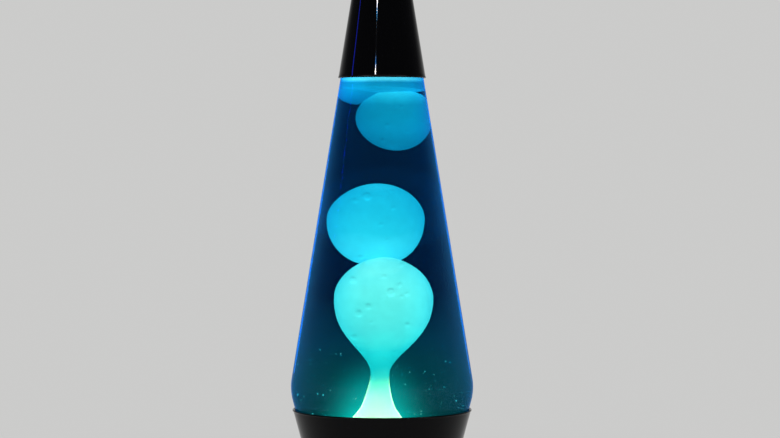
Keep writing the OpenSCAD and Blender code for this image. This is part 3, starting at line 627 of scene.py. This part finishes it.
# Wax that rises out of the pool on the bottle's floor, with room in the pool for the coil
LOBE_AT = Vector((0.8, -9.85, 183.2)) * MM
LOBE_R = 20 * MM
LOBE_TOP_H = 20.5 * MM
LOBE_STEPS = 80
LOBE_TOP_STEPS = 64
COLUMN_FOOT = Vector((-2.4, -5.6, 0)) * MM
COLUMN_FOOT_R = 19.8 * MM
NECK_WAX_R = 3.7 * MM
NECK_WAX_DROP = 37.2 * MM
FLARE_STEPS = 44
COIL_RING_R = 17 * MM
CURL_R = 3.2 * MM
WIRE_D = 0.9 * MM
CURLS = 24
COIL_RUN = math.radians(345)
TRENCH_GAP = 0.5 * MM
TRENCH_STEPS = 16
POOL_STRETCH = 3 * MM
POOL_STEPS = 12
WAX_SIDES = 384
coil_z = floor_z + CURL_R + WIRE_D / 2 + SEAT_GAP


def uneven(point, size, amount):
    """Slow, small swelling of a wax surface."""
    return amount * noise.noise(point / size)


BUBBLE_REACH = 1.3
BUBBLE_SHADE = 0.42
BUBBLE_RISE = 0.25
BUBBLE_EDGE = 0.75
BUBBLE_EDGE_WIDTH = 0.24


def dimples(mesh, centre, marks):
    """Raises small bubbles in the front of a wax surface.

    Each mark is a place to the right of and above the centre and a radius, in millimetres. Each bubble gets
    painted shade on its upper edge and painted light on its lower edge, as if lit from below.
    """
    bubble_painted_shade = mesh.attributes.new("bubble_painted_shade", "FLOAT", "POINT")
    for vertex in mesh.vertices:
        away = vertex.co - centre
        if away.y > 0:
            continue
        for right, up, size in marks:
            dx = away.x / MM - right
            dz = away.z / MM - up
            reach = math.hypot(dx, dz) / size
            if reach < BUBBLE_REACH:
                dome = max(0, 1 - reach * reach) ** 2
                vertex.co += away.normalized() * dome * size * BUBBLE_RISE * MM
                edge = math.exp(-((reach - BUBBLE_EDGE) / BUBBLE_EDGE_WIDTH) ** 2)
                # Painted shade on the bubble's upper edge, painted light on its lower edge
                bubble_painted_shade.data[vertex.index].value -= BUBBLE_SHADE * dz / size * edge


lobe_h = LOBE_AT.z - pool_z
column_base = Vector((COLUMN_FOOT.x, COLUMN_FOOT.y, pool_z))
column_way = (LOBE_AT - column_base).normalized()
column_tilt = Vector((0, 0, 1)).rotation_difference(column_way).to_matrix()
foot = Vector((COLUMN_FOOT_R, 0))
neck = Vector((NECK_WAX_R, lobe_h - NECK_WAX_DROP))
lobe = Vector((LOBE_R, lobe_h))
lobe_top = Vector((0, lobe_h + LOBE_TOP_H))

# Handles of the curves between these points of the column's outline
from_foot = foot + Vector((-12.5, 20.3)) * MM
into_neck = neck - Vector((0, 11.5)) * MM
from_neck = neck + Vector((0, 11.2)) * MM
into_lobe = lobe - Vector((0, 20.8)) * MM
from_lobe = lobe + Vector((0, 9.9)) * MM
into_top = lobe_top + Vector((10.5, 0)) * MM
column_points = (
    curve(foot, from_foot, into_neck, neck, FLARE_STEPS)
    + curve(neck, from_neck, into_lobe, lobe, LOBE_STEPS)
    + curve(lobe, from_lobe, into_top, lobe_top, LOBE_TOP_STEPS)
    + [lobe_top])
pool_points = outline([
    (0, floor_z + FILM),
    (foot_r(floor_z + FILM, WAX_INSET), floor_z + FILM, INNER_HEEL_R - FILM),
    (foot_r(pool_z, WAX_INSET), pool_z),
    (0, pool_z)])
trench_r = CURL_R + WIRE_D / 2 + TRENCH_GAP
trench_points = [Vector((COIL_RING_R - trench_r, floor_z + FILM))]
for step in range(TRENCH_STEPS + 1):
    a = math.pi * (1 - step / TRENCH_STEPS)
    trench_points.append(Vector((COIL_RING_R + trench_r * math.cos(a), coil_z + trench_r * math.sin(a))))
trench_points.append(Vector((COIL_RING_R + trench_r, floor_z + FILM)))


def wax_ring(shape, centre, radius, tilt=Matrix.Identity(3)):
    """Ring of points round a place, level or tilted."""
    ring = []
    for i in range(WAX_SIDES):
        a = TURN * i / WAX_SIDES
        ring.append(shape.verts.new(centre + tilt @ Vector((radius * math.cos(a), radius * math.sin(a), 0))))
    return ring


shape = bmesh.new()
rings = [[shape.verts.new(pool_points[0].to_3d().xzy)]]
for x, z in trench_points + divided(pool_points[1:-1], POOL_STRETCH):
    rings.append(wax_ring(shape, Vector((0, 0, z)), x))
edge_r = pool_points[-2].x
for step in range(1, POOL_STEPS):
    t = step / POOL_STEPS
    centre = Vector((0, 0, pool_z)).lerp(column_base, t)
    tilt = column_tilt if t > 0.5 else Matrix.Identity(3)
    rings.append(wax_ring(shape, centre, edge_r + (COLUMN_FOOT_R - edge_r) * t, tilt))
for x, h in column_points[:-1]:
    rings.append(wax_ring(shape, column_base + column_way * h, x, column_tilt))
rings.append([shape.verts.new(column_base + column_way * lobe_top.y)])
skin(shape, rings)


ROUGH_FROM = 6 * MM
ROUGH_FULL = 20 * MM
ROUGH_SIZE = 13 * MM
ROUGH_DEPTH = 0.35 * MM


def roughen(shape):
    """Makes the wax that rises out of the pool a little uneven."""
    for vertex in shape.verts:
        rise = vertex.co.z - pool_z
        if rise > ROUGH_FROM:
            spine = column_base + column_way * (vertex.co - column_base).dot(column_way)
            middle = spine if rise < lobe_h else LOBE_AT
            out = (vertex.co - middle).normalized()
            vertex.co += out * uneven(vertex.co, ROUGH_SIZE, ROUGH_DEPTH * min(1, rise / ROUGH_FULL))


roughen(shape)
# Painted glow of the rising wax for the bulb's light from below, made brighter towards both sides
column_look = painted_glow_wax("wax_column_painted_glow", [
    (92, 0, (120, 235, 222)), (104, 0, (150, 245, 230)), (111, 1, (165, 248, 232)),
    (119, 16, (180, 251, 202)), (125, 29, (183, 252, 196)), (131.5, 31, (160, 251, 188)),
    (138, 31, (108, 250, 194)), (142.5, 30, (53, 216, 194)), (148, 29, (18, 196, 192)),
    (156, 26, (24, 204, 203)), (163, 21, (52, 219, 213)), (171, 12, (75, 228, 221)),
    (183.7, 6, (94, 243, 234)), (195, 8, (102, 251, 246)), (201, 13, (106, 254, 250)),
    (205, 17, (108, 255, 252))], sides=1.2)
column = add_piece("rising_wax", shape, column_look, "globe", ["wax_column"])
dimples(column.data, LOBE_AT, [
    (3.2, 4.7, 2.1), (-6.9, -2.2, 1.7), (-11.2, -5.8, 1.8), (-13.4, 10, 1.6),
    (0.1, 12, 1.1), (7.2, 8, 1.2), (10.6, 3.8, 1.1), (8.3, 2.6, 1.0),
    (10.4, -11.4, 1.4), (-5.5, -10, 1.0), (-12.5, -18, 1.5), (7.4, 17, 1.1)])


# Two free blobs, the upper one pressed against the glass on its right
BLOB_LOW_STEPS = 72
BLOB_TOP_STEPS = 64
BLOB_SIDES = 200
BLOB_ROUGH_SIZE = 14 * MM
BLOB_ROUGH_DEPTH = 0.2 * MM


def blob(radius, above, below, place, tilt, fill):
    """Egg-shaped blob, its axis tilted along the wall that it moves on.

    A larger fill makes its lower half fuller.
    """
    low = Vector((0, -below))
    wide = Vector((radius, 0))
    high = Vector((0, above))
    from_low = Vector((radius * fill, -below))
    into_wide = Vector((radius, -below * fill))
    from_wide = Vector((radius, above * QUARTER))
    into_high = Vector((radius * QUARTER, above))
    points = curve(low, from_low, into_wide, wide, BLOB_LOW_STEPS)
    points += curve(wide, from_wide, into_high, high, BLOB_TOP_STEPS)
    points.append(high)
    made = turned(points, BLOB_SIDES)
    for vertex in made.verts:
        out = vertex.co.normalized()
        vertex.co += out * uneven(vertex.co + place, BLOB_ROUGH_SIZE, BLOB_ROUGH_DEPTH)
        vertex.co = tilt @ vertex.co + place
    return made


MIDDLE_AT = Vector((-1.75, 10, 219.6)) * MM
MIDDLE_R = 15.3 * MM
MIDDLE_TOP = 19.1 * MM
MIDDLE_DROP = 21.9 * MM
MIDDLE_FILL = 0.62
MIDDLE_LEAN = math.radians(2)
UPPER_AT = Vector((4.8, -1, 271.3)) * MM
UPPER_R = 14.5 * MM
UPPER_TOP = 14.2 * MM
UPPER_DROP = 16 * MM
UPPER_FILL = 0.53
PRESS = 4.2 * MM
PRESS_UP = 6 * MM
PRESS_REACH = 8 * MM
WALL_GAP = 0.15 * MM
WALL_EASE = 0.7 * MM


def pressed(vertex):
    """Swells the upper blob's right side, which the glass then flattens."""
    away = vertex.co - UPPER_AT
    flat = Vector((away.x, away.y, 0))
    if flat.length < TINY:
        return
    swell = PRESS * math.exp(-((away.z - PRESS_UP) / PRESS_REACH) ** 2)
    vertex.co += flat * max(0, flat.x) / flat.length ** 2 * swell
    reach = math.hypot(vertex.co.x, vertex.co.y)
    free = cone_r(vertex.co.z, WAX_INSET + WALL_GAP) - reach
    if free < WALL_EASE:
        kept = reach + free - WALL_EASE * math.exp((free - WALL_EASE) / WALL_EASE)
        vertex.co.x *= kept / reach
        vertex.co.y *= kept / reach


middle_tilt = Matrix.Rotation(MIDDLE_LEAN, 3, "Y") @ Matrix.Rotation(CONE_LEAN, 3, "X")
upper_tilt = Matrix.Rotation(-CONE_LEAN, 3, "Y")
middle_shape = blob(MIDDLE_R, MIDDLE_TOP, MIDDLE_DROP, MIDDLE_AT, middle_tilt, MIDDLE_FILL)
upper_shape = blob(UPPER_R, UPPER_TOP, UPPER_DROP, UPPER_AT, upper_tilt, UPPER_FILL)
for vertex in upper_shape.verts:
    pressed(vertex)
# Painted glow of the two free blobs for the bulb's light that reaches them
middle_look = painted_glow_wax("wax_middle_painted_glow", [
    (197, 34, (58, 238, 255)), (205, 28, (58, 235, 255)), (215, 24, (36, 216, 240)),
    (225, 22, (28, 206, 235)), (235, 26, (22, 196, 231)), (239, 30, (30, 202, 236)),
    (241, 33, (40, 208, 240))])
upper_look = painted_glow_wax("wax_upper_painted_glow", [
    (255.5, 18, (2, 119, 158)), (260, 11, (4, 131, 169)), (266, 7, (5, 148, 189)),
    (274, 5, (5, 145, 181)), (279, 7, (6, 142, 177)), (282, 10, (15, 164, 197)),
    (286, 15, (30, 194, 224))])
middle = add_piece("middle_wax", middle_shape, middle_look, "middle_blob", ["wax_blob_middle"])
dimples(middle.data, MIDDLE_AT, [
    (6, 7.5, 1.0), (1.3, -0.5, 1.0), (-3.8, 13.2, 1.9), (-8.2, 11, 1.2), (-6, -17, 1.2), (3.5, -8, 0.8)])
upper = add_piece("upper_wax", upper_shape, upper_look, "upper_blob", ["wax_blob_upper"])
dimples(upper.data, UPPER_AT, [(-2.6, -3, 1.1), (-4.5, -10.5, 1.1), (4, 6, 0.9), (6.5, -6, 0.8)])

# Wax that has gathered at the top: the round underside of one mass, with room for the upper blob
TOP_WAX_AT = Vector((1, 4, 283.2)) * MM
TOP_WAX_R = 60 * MM
HANG_AT = Vector((-8, 2, 278)) * MM
HANG_R = 11 * MM
HANG_BLEND = 2 * MM
BLOB_ROOM = 0.8 * MM
TOP_SIDES = 200
TOP_STEPS = 70
TOP_TRIES = 6
TOP_EDGE_DROP = 0.4 * MM
TOP_GAP = 0.2 * MM
TOP_WALL_STEPS = 7
top_centre = TOP_WAX_AT + Vector((0, 0, TOP_WAX_R))
top_face_z = wax_top_z - TOP_GAP


def under_face(x, y):
    """Height of the underside of the wax at the top: a flat bowl, with a drop that hangs from it."""
    bowl = top_centre.z - math.sqrt(TOP_WAX_R ** 2 - (x - top_centre.x) ** 2 - (y - top_centre.y) ** 2)
    away = math.hypot(x - HANG_AT.x, y - HANG_AT.y)
    if away >= HANG_R:
        return bowl
    drop = HANG_AT.z + HANG_R - math.sqrt(HANG_R ** 2 - away ** 2)
    share = min(1, max(0, 0.5 + (bowl - drop) / (2 * HANG_BLEND)))
    return drop * share + bowl * (1 - share) - HANG_BLEND * share * (1 - share)


def over_blob(x, y):
    """Height that clears the upper blob, or none beside it."""
    dx = (x - UPPER_AT.x) / (UPPER_R + BLOB_ROOM + (PRESS if x > UPPER_AT.x else 0))
    dy = (y - UPPER_AT.y) / (UPPER_R + BLOB_ROOM)
    if dx * dx + dy * dy >= 1:
        return -1
    return UPPER_AT.z + (UPPER_TOP + BLOB_ROOM) * math.sqrt(1 - dx * dx - dy * dy)


top_rings = []
for step in range(TOP_STEPS + 1):
    part = step / TOP_STEPS
    ring = []
    for i in range(TOP_SIDES):
        a = TURN * i / TOP_SIDES
        z = TOP_WAX_AT.z
        for _ in range(TOP_TRIES):
            reach = cone_r(min(z, wax_top_z), WAX_INSET) * part
            x = reach * math.cos(a)
            y = reach * math.sin(a)
            z = max(under_face(x, y), over_blob(x, y))
        ring.append(Vector((x, y, min(z, wax_top_z - TOP_EDGE_DROP))))
    top_rings.append(ring)
shape = bmesh.new()
rings = [[shape.verts.new(top_rings[0][0])]]
for ring in top_rings[1:]:
    rings.append([shape.verts.new(point) for point in ring])
last = top_rings[-1]
for step in range(1, TOP_WALL_STEPS + 1):
    ring = []
    for i in range(TOP_SIDES):
        a = TURN * i / TOP_SIDES
        z = last[i].z + (top_face_z - last[i].z) * step / TOP_WALL_STEPS
        reach = cone_r(z, WAX_INSET)
        ring.append(shape.verts.new((reach * math.cos(a), reach * math.sin(a), z)))
    rings.append(ring)
rings.append([shape.verts.new((0, 0, top_face_z))])
skin(shape, rings)
# Painted glow of the wax at the top, with a painted bright line just under the cap's rim, brighter to the
# left
top_look = painted_glow_wax("wax_top_painted_glow", [
    (279, 6, (1, 106, 150)), (282, 4, (4, 132, 182)), (286, 3, (8, 150, 196)),
    (288.3, 3, (7, 144, 189)), (289.6, 2, (7, 140, 186)), (290.4, 2, (48, 190, 225)),
    (291, 2, (80, 215, 240)), (306, 2, (20, 150, 200))], drifting=0.006, painted_left_glow=1.45)
add_piece("top_wax", shape, top_look, "globe", ["wax_top_pool"], SOFT_EDGE)

# Heating coil: one wire wound in curls, lying in a ring on the bottle's floor
CURL_STEPS = 20
COIL_WIRE_SIDES = 8
coil_points = wound(COIL_RING_R, CURL_R, coil_z, COIL_RUN, CURLS, CURL_STEPS)
shape = bmesh.new()
swept(shape, coil_points, WIRE_D / 2, COIL_WIRE_SIDES)
add_piece("wire_coil", shape, steel, "globe", ["heating_coil"])


def clear_space(name):
    """Clear, unbending surface round a space that can be filled with painted glow."""
    look = Look(name, {"Transmission Weight": 1.0, "IOR": 1.0, "Roughness": 0.0})
    look.feed("Base Color", look.ramp(look.grain(40), [(0, (0.98, 1, 0.99)), (1, (1, 1, 1))]))
    return look


def painted_glow_space(look, light, share, fall, strength):
    """Fills a clear space with painted glow that falls off as a power of a share of it."""
    glow = look.add("ShaderNodeEmission")
    glow.inputs["Color"].default_value = (*light, 1)
    fading = look.math("MULTIPLY", look.math("POWER", share, fall), strength)
    look.links.new(fading, glow.inputs["Strength"])
    look.fill(glow.outputs["Emission"])
    return look.material


# Painted glow in a thin layer along the flare, which shows as a bright painted line on each of its sides
EDGE_GLOW_COLOUR = (1.0, 0.14, 0.03)
EDGE_GLOW_STRENGTH = 125000.0
EDGE_GLOW_FALL = 1.5
FILM_FULL_Z = 137 * MM
FILM_END_Z = 146 * MM
FILM_START_H = 4 * MM
FILM_DEPTH = 0.22 * MM
edge_glow_look = clear_space("painted_edge_glow")
edge_glow_share = edge_glow_look.spread(edge_glow_look.axis("Z"), FILM_FULL_Z, FILM_END_Z, 1.0, 0.0)
painted_edge_glow = painted_glow_space(edge_glow_look, EDGE_GLOW_COLOUR, edge_glow_share, EDGE_GLOW_FALL, EDGE_GLOW_STRENGTH)
shape = bmesh.new()
rings = []
for x, h in column_points:
    if FILM_START_H < h < FILM_END_Z - pool_z:
        ring_at = column_base + column_way * h
        if not rings:
            rings.append([shape.verts.new(ring_at)])
        rings.append(wax_ring(shape, ring_at, x + FILM_DEPTH, column_tilt))
rings.append([shape.verts.new(ring_at)])
skin(shape, rings)
roughen(shape)
add_piece("flare_edge_glow", shape, painted_edge_glow, "globe")

# Painted glow in the liquid round the flare, for the bulb's light there: a dome whose painted glow fades out
# at its surface
HAZE_R = 30 * MM
HAZE_TOP = 52 * MM
HAZE_GAP = 0.5 * MM
HAZE_STEPS = 24
HAZE_SIDES = 128
HALO_GLOW_COLOUR = (0.0, 1.0, 0.55)
HALO_GLOW_STRENGTH = 1500.0
HAZE_FALL = 3.0
haze_low = Vector((COLUMN_FOOT.x, COLUMN_FOOT.y, pool_z + HAZE_GAP))


def painted_halo():
    """Painted glow that grows from the dome's surface to its middle."""
    look = clear_space("painted_halo")
    spot = look.add("ShaderNodeMapping", vector_type="TEXTURE")
    look.links.new(look.place, spot.inputs["Vector"])
    spot.inputs["Location"].default_value = haze_low
    spot.inputs["Scale"].default_value = (HAZE_R, HAZE_R, HAZE_TOP)
    reach = look.add("ShaderNodeVectorMath", operation="LENGTH")
    look.links.new(spot.outputs["Vector"], reach.inputs[0])
    depth = look.spread(reach.outputs["Value"], 0.0, 1.0, 1.0, 0.0)
    return painted_glow_space(look, HALO_GLOW_COLOUR, depth, HAZE_FALL, HALO_GLOW_STRENGTH)


haze_points = [Vector((0, haze_low.z))]
for step in range(HAZE_STEPS + 1):
    a = TURN / 4 * step / HAZE_STEPS
    haze_points.append(Vector((HAZE_R * math.cos(a), haze_low.z + HAZE_TOP * math.sin(a))))
haze_shape = turned(haze_points, HAZE_SIDES, centre=haze_low)
add_piece("painted_halo_dome", haze_shape, painted_halo(), "globe")

# Specks of loose wax that drift low in the liquid, most of them near its bottom and most of them small
SPECKS = 320
SPECK_LOW = 8
SPECK_RISE = 40
SPECK_CROWDING = 1.8
SPECK_NEAREST = 0.5
SPECK_SPREAD = 0.45
SPECK_R = 0.12
SPECK_GROWTH = 0.2
SPECK_RARITY = 4
dice = random.Random(7)
shape = bmesh.new()
for _ in range(SPECKS):
    z = pool_z + (SPECK_LOW + SPECK_RISE * dice.random() ** SPECK_CROWDING) * MM
    a = TURN * dice.random()
    reach = (SPECK_NEAREST + SPECK_SPREAD * dice.random()) * foot_r(min(z, widest_z), WAX_INSET)
    size = (SPECK_R + SPECK_GROWTH * dice.random() ** SPECK_RARITY) * MM
    bmesh.ops.create_icosphere(
        shape, subdivisions=2, radius=size,
        matrix=Matrix.Translation((reach * math.cos(a), reach * math.sin(a), z)))
# Painted glow of the specks for the bulb's light near the bottom
speck_look = painted_glow_wax("wax_specks_painted_glow", [
    (112, 20, (100, 225, 205)), (140, 20, (70, 205, 195)), (175, 18, (40, 160, 185))])
add_piece("wax_specks", shape, speck_look, "globe")

# Rubber feet, each with a hollow underneath and a mould line round it
feet_low, feet_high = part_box("rubber_feet")
FOOT_PADS = 4
FOOT_PAD_R = 5.5 * MM
FOOT_PAD_SIDES = 48
PAD_HOLLOW_R = 2.2 * MM
PAD_HOLLOW_H = 0.7 * MM
PAD_HOLLOW_ROUND = 0.3 * MM
PAD_TREAD_R = 2.6 * MM
PAD_TREAD_ROUND = 0.2 * MM
PAD_ROUND = 0.5 * MM
MOULD_LINE_H = 1.2 * MM
BELOW_LINE_H = 1.1 * MM
ABOVE_LINE_H = 1.3 * MM
BELOW_LINE_IN = 0.15 * MM
ABOVE_LINE_IN = 0.12 * MM
PAD_TOP_IN = 0.05 * MM
foot_ring_r = math.sqrt(2) * (feet_high.x - FOOT_PAD_R)
foot_points = outline([
    (0, feet_low.z + PAD_HOLLOW_H),
    (PAD_HOLLOW_R, feet_low.z + PAD_HOLLOW_H, PAD_HOLLOW_ROUND),
    (PAD_TREAD_R, feet_low.z, PAD_TREAD_ROUND),
    (FOOT_PAD_R - PAD_ROUND, feet_low.z, PAD_ROUND),
    (FOOT_PAD_R - BELOW_LINE_IN, feet_low.z + BELOW_LINE_H),
    (FOOT_PAD_R, feet_low.z + MOULD_LINE_H),
    (FOOT_PAD_R - ABOVE_LINE_IN, feet_low.z + ABOVE_LINE_H),
    (FOOT_PAD_R - PAD_TOP_IN, feet_high.z),
    (0, feet_high.z)])
shape = bmesh.new()
for i in range(FOOT_PADS):
    a = TURN * (i + 0.5) / FOOT_PADS
    centre = (foot_ring_r * math.cos(a), foot_ring_r * math.sin(a))
    turned(foot_points, FOOT_PAD_SIDES, shape, centre)
add_piece("foot_pads", shape, rubber, "base", ["rubber_feet"])

# Liner: pressed disc under the closure, with a raised sealing ring and the print of the bottle's lip
LINER_PRINT = 0.15 * MM
LINER_EDGE = 0.15 * MM
LINER_ROUND = 0.2 * MM
LINER_STRETCH = 1.5 * MM
LINER_SIDES = 128
PRINT_IN = 0.6 * MM
PRINT_OUT = 0.2 * MM
liner_low, liner_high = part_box("crown_liner")
liner_r = liner_high.x
liner_points = outline([
    (0, liner_low.z + LINER_PRINT),
    (MOUTH_R - PRINT_IN, liner_low.z + LINER_PRINT, LINER_ROUND),
    (MOUTH_R + PRINT_OUT, liner_low.z, LINER_ROUND),
    (liner_r, liner_low.z, LINER_EDGE),
    (liner_r, liner_high.z, LINER_EDGE),
    (0, liner_high.z)])
liner_shape = turned(divided(liner_points, LINER_STRETCH), LINER_SIDES)
add_piece("seal_disc", liner_shape, liner, "globe", ["crown_liner"])

# Filament: fine wire wound in close turns along half a circle
FILAMENT_TURN_R = 0.24 * MM
FILAMENT_WIRE_R = 0.05 * MM
FILAMENT_TURNS = 110
FILAMENT_STEPS = 10
FILAMENT_WIRE_SIDES = 6
filament_low, filament_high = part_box("bulb_filament")
filament_z = (filament_low.z + filament_high.z) / 2
filament_points = wound(
    FILAMENT_ARC_R, FILAMENT_TURN_R, filament_z, TURN / 2, FILAMENT_TURNS, FILAMENT_STEPS)
shape = bmesh.new()
swept(shape, filament_points, FILAMENT_WIRE_R, FILAMENT_WIRE_SIDES)
add_piece("wound_filament", shape, filament_look, "bulb", ["bulb_filament"])

# Closure: thin sheet crimped over the bottle's lip in flutes
FLUTES = 21
FLUTE_DEPTH = 0.42 * MM
FLUTE_DROP = 1.2 * MM
FLUTE_SIDES = 16
CROWN_SHEET = 0.3 * MM
CROWN_TOP_R = 13.45 * MM
CROWN_TOP_ROUND = 1.6 * MM
CROWN_SIDE_R = 13.95 * MM
CROWN_SIDE_H = 2.2 * MM
CROWN_SIDE_ROUND = 6 * MM
CROWN_EDGE_R = 14.48 * MM
CROWN_STRETCH = 0.7 * MM
crown_low, crown_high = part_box("crown_closure")
flute_z = crown_high.z - FLUTE_DROP
crown_outer = divided(outline([
    (0, crown_high.z),
    (CROWN_TOP_R, crown_high.z, CROWN_TOP_ROUND),
    (CROWN_SIDE_R, crown_low.z + CROWN_SIDE_H, CROWN_SIDE_ROUND),
    (CROWN_EDGE_R, crown_low.z)]), CROWN_STRETCH)


def crimped(shape, points, inset):
    """Rings of a turned outline whose flutes deepen towards its lower edge."""
    rings = []
    for x, z in points:
        if x < TINY:
            rings.append([shape.verts.new((0, 0, z - inset))])
            continue
        deep = min(1, max(0, (flute_z - z) / (flute_z - crown_low.z)))
        height = max(z - inset * (1 - deep), crown_low.z)
        ring = []
        for i in range(FLUTES * FLUTE_SIDES):
            a = TURN * i / (FLUTES * FLUTE_SIDES)
            r = x - inset + FLUTE_DEPTH * deep * math.cos(FLUTES * a)
            ring.append(shape.verts.new((r * math.cos(a), r * math.sin(a), height)))
        rings.append(ring)
    return rings


shape = bmesh.new()
skin(shape, crimped(shape, crown_outer, 0) + list(reversed(crimped(shape, crown_outer, CROWN_SHEET))))
add_piece("crimped_crown", shape, tin, "globe", ["crown_closure"])

# Materials of the nodes that are shown from the CAD
finishes = {
    "base_cup": black_base, "base_skirt": black_base,
    "waist_rivets": steel, "socket_strap": steel, "lock_washer": steel, "plate_screws": steel,
    "bulb_wires": steel, "bulb_contact": tin,
    "threaded_nipple": brass, "nipple_nut": brass, "lampholder_shell": brass, "lampholder_contact": brass,
    "terminal_screws": brass, "bulb_shell": brass, "lampholder_body": porcelain, "base_plate": black_steel,
    "cord_gland": nylon, "bulb_glass": bulb_glass_look, "bulb_stem": bulb_glass_look,
    "bulb_insulator": black_glass}
for name, look in finishes.items():
    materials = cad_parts[name].data.materials
    materials.clear()
    materials.append(look)

# Floor and surroundings, in metres
PALE = (0.6, 0.6, 0.594, 1)
MATT = (0.74, 0.74, 0.73, 1)
DARK = (0.11, 0.11, 0.115, 1)
FLOOR_RINGS = (0, 0.3, 0.8, 2, 5, 14)
FLOOR_SIDES = 96
FLOOR_NEAR = 0.35
FLOOR_FAR = 1.1
SKY_PALE = 0.075
SKY_DARK = 0.2


def pale_floor():
    """Pale matt floor; far from the lamp it shows as an even backdrop."""
    look = Look("pale_floor", {})
    look.nodes.remove(look.shader)
    matt = look.add("ShaderNodeBsdfDiffuse")
    matt.inputs["Color"].default_value = MATT
    even = look.add("ShaderNodeEmission")
    even.inputs["Color"].default_value = PALE
    path = look.add("ShaderNodeLightPath")
    seen = look.math("MAXIMUM", path.outputs["Is Camera Ray"], path.outputs["Is Glossy Ray"])
    seen = look.math("MAXIMUM", seen, path.outputs["Is Transmission Ray"])
    length = look.add("ShaderNodeVectorMath", operation="LENGTH")
    look.links.new(look.place, length.inputs[0])
    far = look.add("ShaderNodeMapRange", interpolation_type="SMOOTHSTEP")
    far.inputs["From Min"].default_value = FLOOR_NEAR
    far.inputs["From Max"].default_value = FLOOR_FAR
    look.links.new(length.outputs["Value"], far.inputs["Value"])
    mix = look.add("ShaderNodeMixShader")
    look.links.new(look.math("MULTIPLY", far.outputs["Result"], seen), mix.inputs["Fac"])
    look.links.new(matt.outputs["BSDF"], mix.inputs[1])
    look.links.new(even.outputs["Emission"], mix.inputs[2])
    look.links.new(mix.outputs["Shader"], look.nodes["Material Output"].inputs["Surface"])
    return look.material


shape = turned([Vector((x, 0)) for x in FLOOR_RINGS], FLOOR_SIDES)
mesh = bpy.data.meshes.new("studio_floor")
shape.to_mesh(mesh)
shape.free()
mesh.materials.append(pale_floor())
ground = bpy.data.objects.new("studio_floor", mesh)
scene.collection.objects.link(ground)

world = bpy.data.worlds.new("studio")
scene.world = world
world.use_nodes = True
nodes = world.node_tree.nodes
links = world.node_tree.links
place = nodes.new("ShaderNodeTexCoord")
split = nodes.new("ShaderNodeSeparateXYZ")
links.new(place.outputs["Generated"], split.inputs["Vector"])
fade = nodes.new("ShaderNodeValToRGB")
links.new(split.outputs["Z"], fade.inputs["Fac"])
for part, position, colour in zip(fade.color_ramp.elements, (SKY_PALE, SKY_DARK), (PALE, DARK)):
    part.position = position
    part.color = colour
links.new(fade.outputs["Color"], nodes["Background"].inputs["Color"])


def softbox(name, where, aim, width, height, power, colour=(1, 1, 1)):
    """Rectangular lamp that points at a place."""
    light = bpy.data.lights.new(name, "AREA")
    light.shape = "RECTANGLE"
    light.size = width
    light.size_y = height
    light.energy = power
    light.color = colour
    lamp = bpy.data.objects.new(name, light)
    scene.collection.objects.link(lamp)
    lamp.location = where
    lamp.rotation_euler = (Vector(aim) - Vector(where)).to_track_quat("-Z", "Y").to_euler()
    lamp.visible_camera = False
    return lamp


def reflected(name, where, aim, width, height, power, colour, pieces):
    """Oval lamp that shows only as a reflection in some pieces."""
    lamp = softbox(name, where, aim, width, height, power, colour)
    lamp.data.shape = "ELLIPSE"
    lamp.visible_diffuse = False
    lamp.visible_transmission = False
    shown_in = bpy.data.collections.new(name)
    for piece in pieces:
        shown_in.objects.link(piece)
    lamp.light_linking.receiver_collection = shown_in


# Lamps that light the scene, with places and sizes in metres and power in watts
softbox("overhead", (0, 0.2, 2.0), (0, 0, 0), 1.8, 1.8, 20)
softbox("key", (-1.2, -1.0, 1.75), (0, 0, 0.2), 0.7, 0.7, 11)
softbox("fill", (1.5, -0.7, 1.6), (0, 0, 0.2), 0.8, 0.8, 6)

# Lamps that show as thin highlights: four one above the other on the cap's front, the others on the sides
CAP_STRIP_X = -0.47
CAP_STRIP_Y = -1.45
CAP_STRIP_AIM = (0, 0, 0.33)
for name, z, width, height, power, colour in (
        ("cap_strip_low", 0.8465, 0.07, 0.0105, 0.85, (1.0, 0.9, 0.78)),
        ("cap_glint_low", 0.858, 0.05, 0.016, 0.12, (0.02, 0.3, 1.0)),
        ("cap_glint_high", 0.9225, 0.06, 0.02, 0.25, (0.02, 0.42, 1.0)),
        ("cap_strip_high", 0.936, 0.07, 0.02, 1.1, (1.0, 0.9, 0.86))):
    where = (CAP_STRIP_X, CAP_STRIP_Y, z)
    reflected(name, where, CAP_STRIP_AIM, width, height, power, colour, [cap])
reflected("side_strip", (-1.6, -0.05, 0.69), (0, 0, 0.25), 0.08, 0.34, 1.3, (0.02, 0.04, 1.0), [cap, bottle])
reflected("rim_left", (-0.6, 1.38, 0.27), (0, 0, 0.23), 0.34, 0.34, 0.8, (0.0, 0.36, 1.0), [bottle])
reflected("rim_right", (0.6, 1.38, 0.27), (0, 0, 0.23), 0.34, 0.34, 0.6, (0.0, 0.4, 1.0), [bottle])
reflected("back_strip", (0, 1.6, 0.75), (0, 0, 0.2), 0.12, 0.8, 1.0, (1, 1, 1), [bottle])

# Camera, with its lens and sensor in millimetres
camera = bpy.data.cameras.new("camera")
camera.lens = 116.5
camera.sensor_width = 36
viewer = bpy.data.objects.new("camera", camera)
scene.collection.objects.link(viewer)
viewer.location = (0, -1.244, 0.2555)
viewer.rotation_euler = (math.radians(88.49), 0, math.radians(-0.18))
scene.camera = viewer
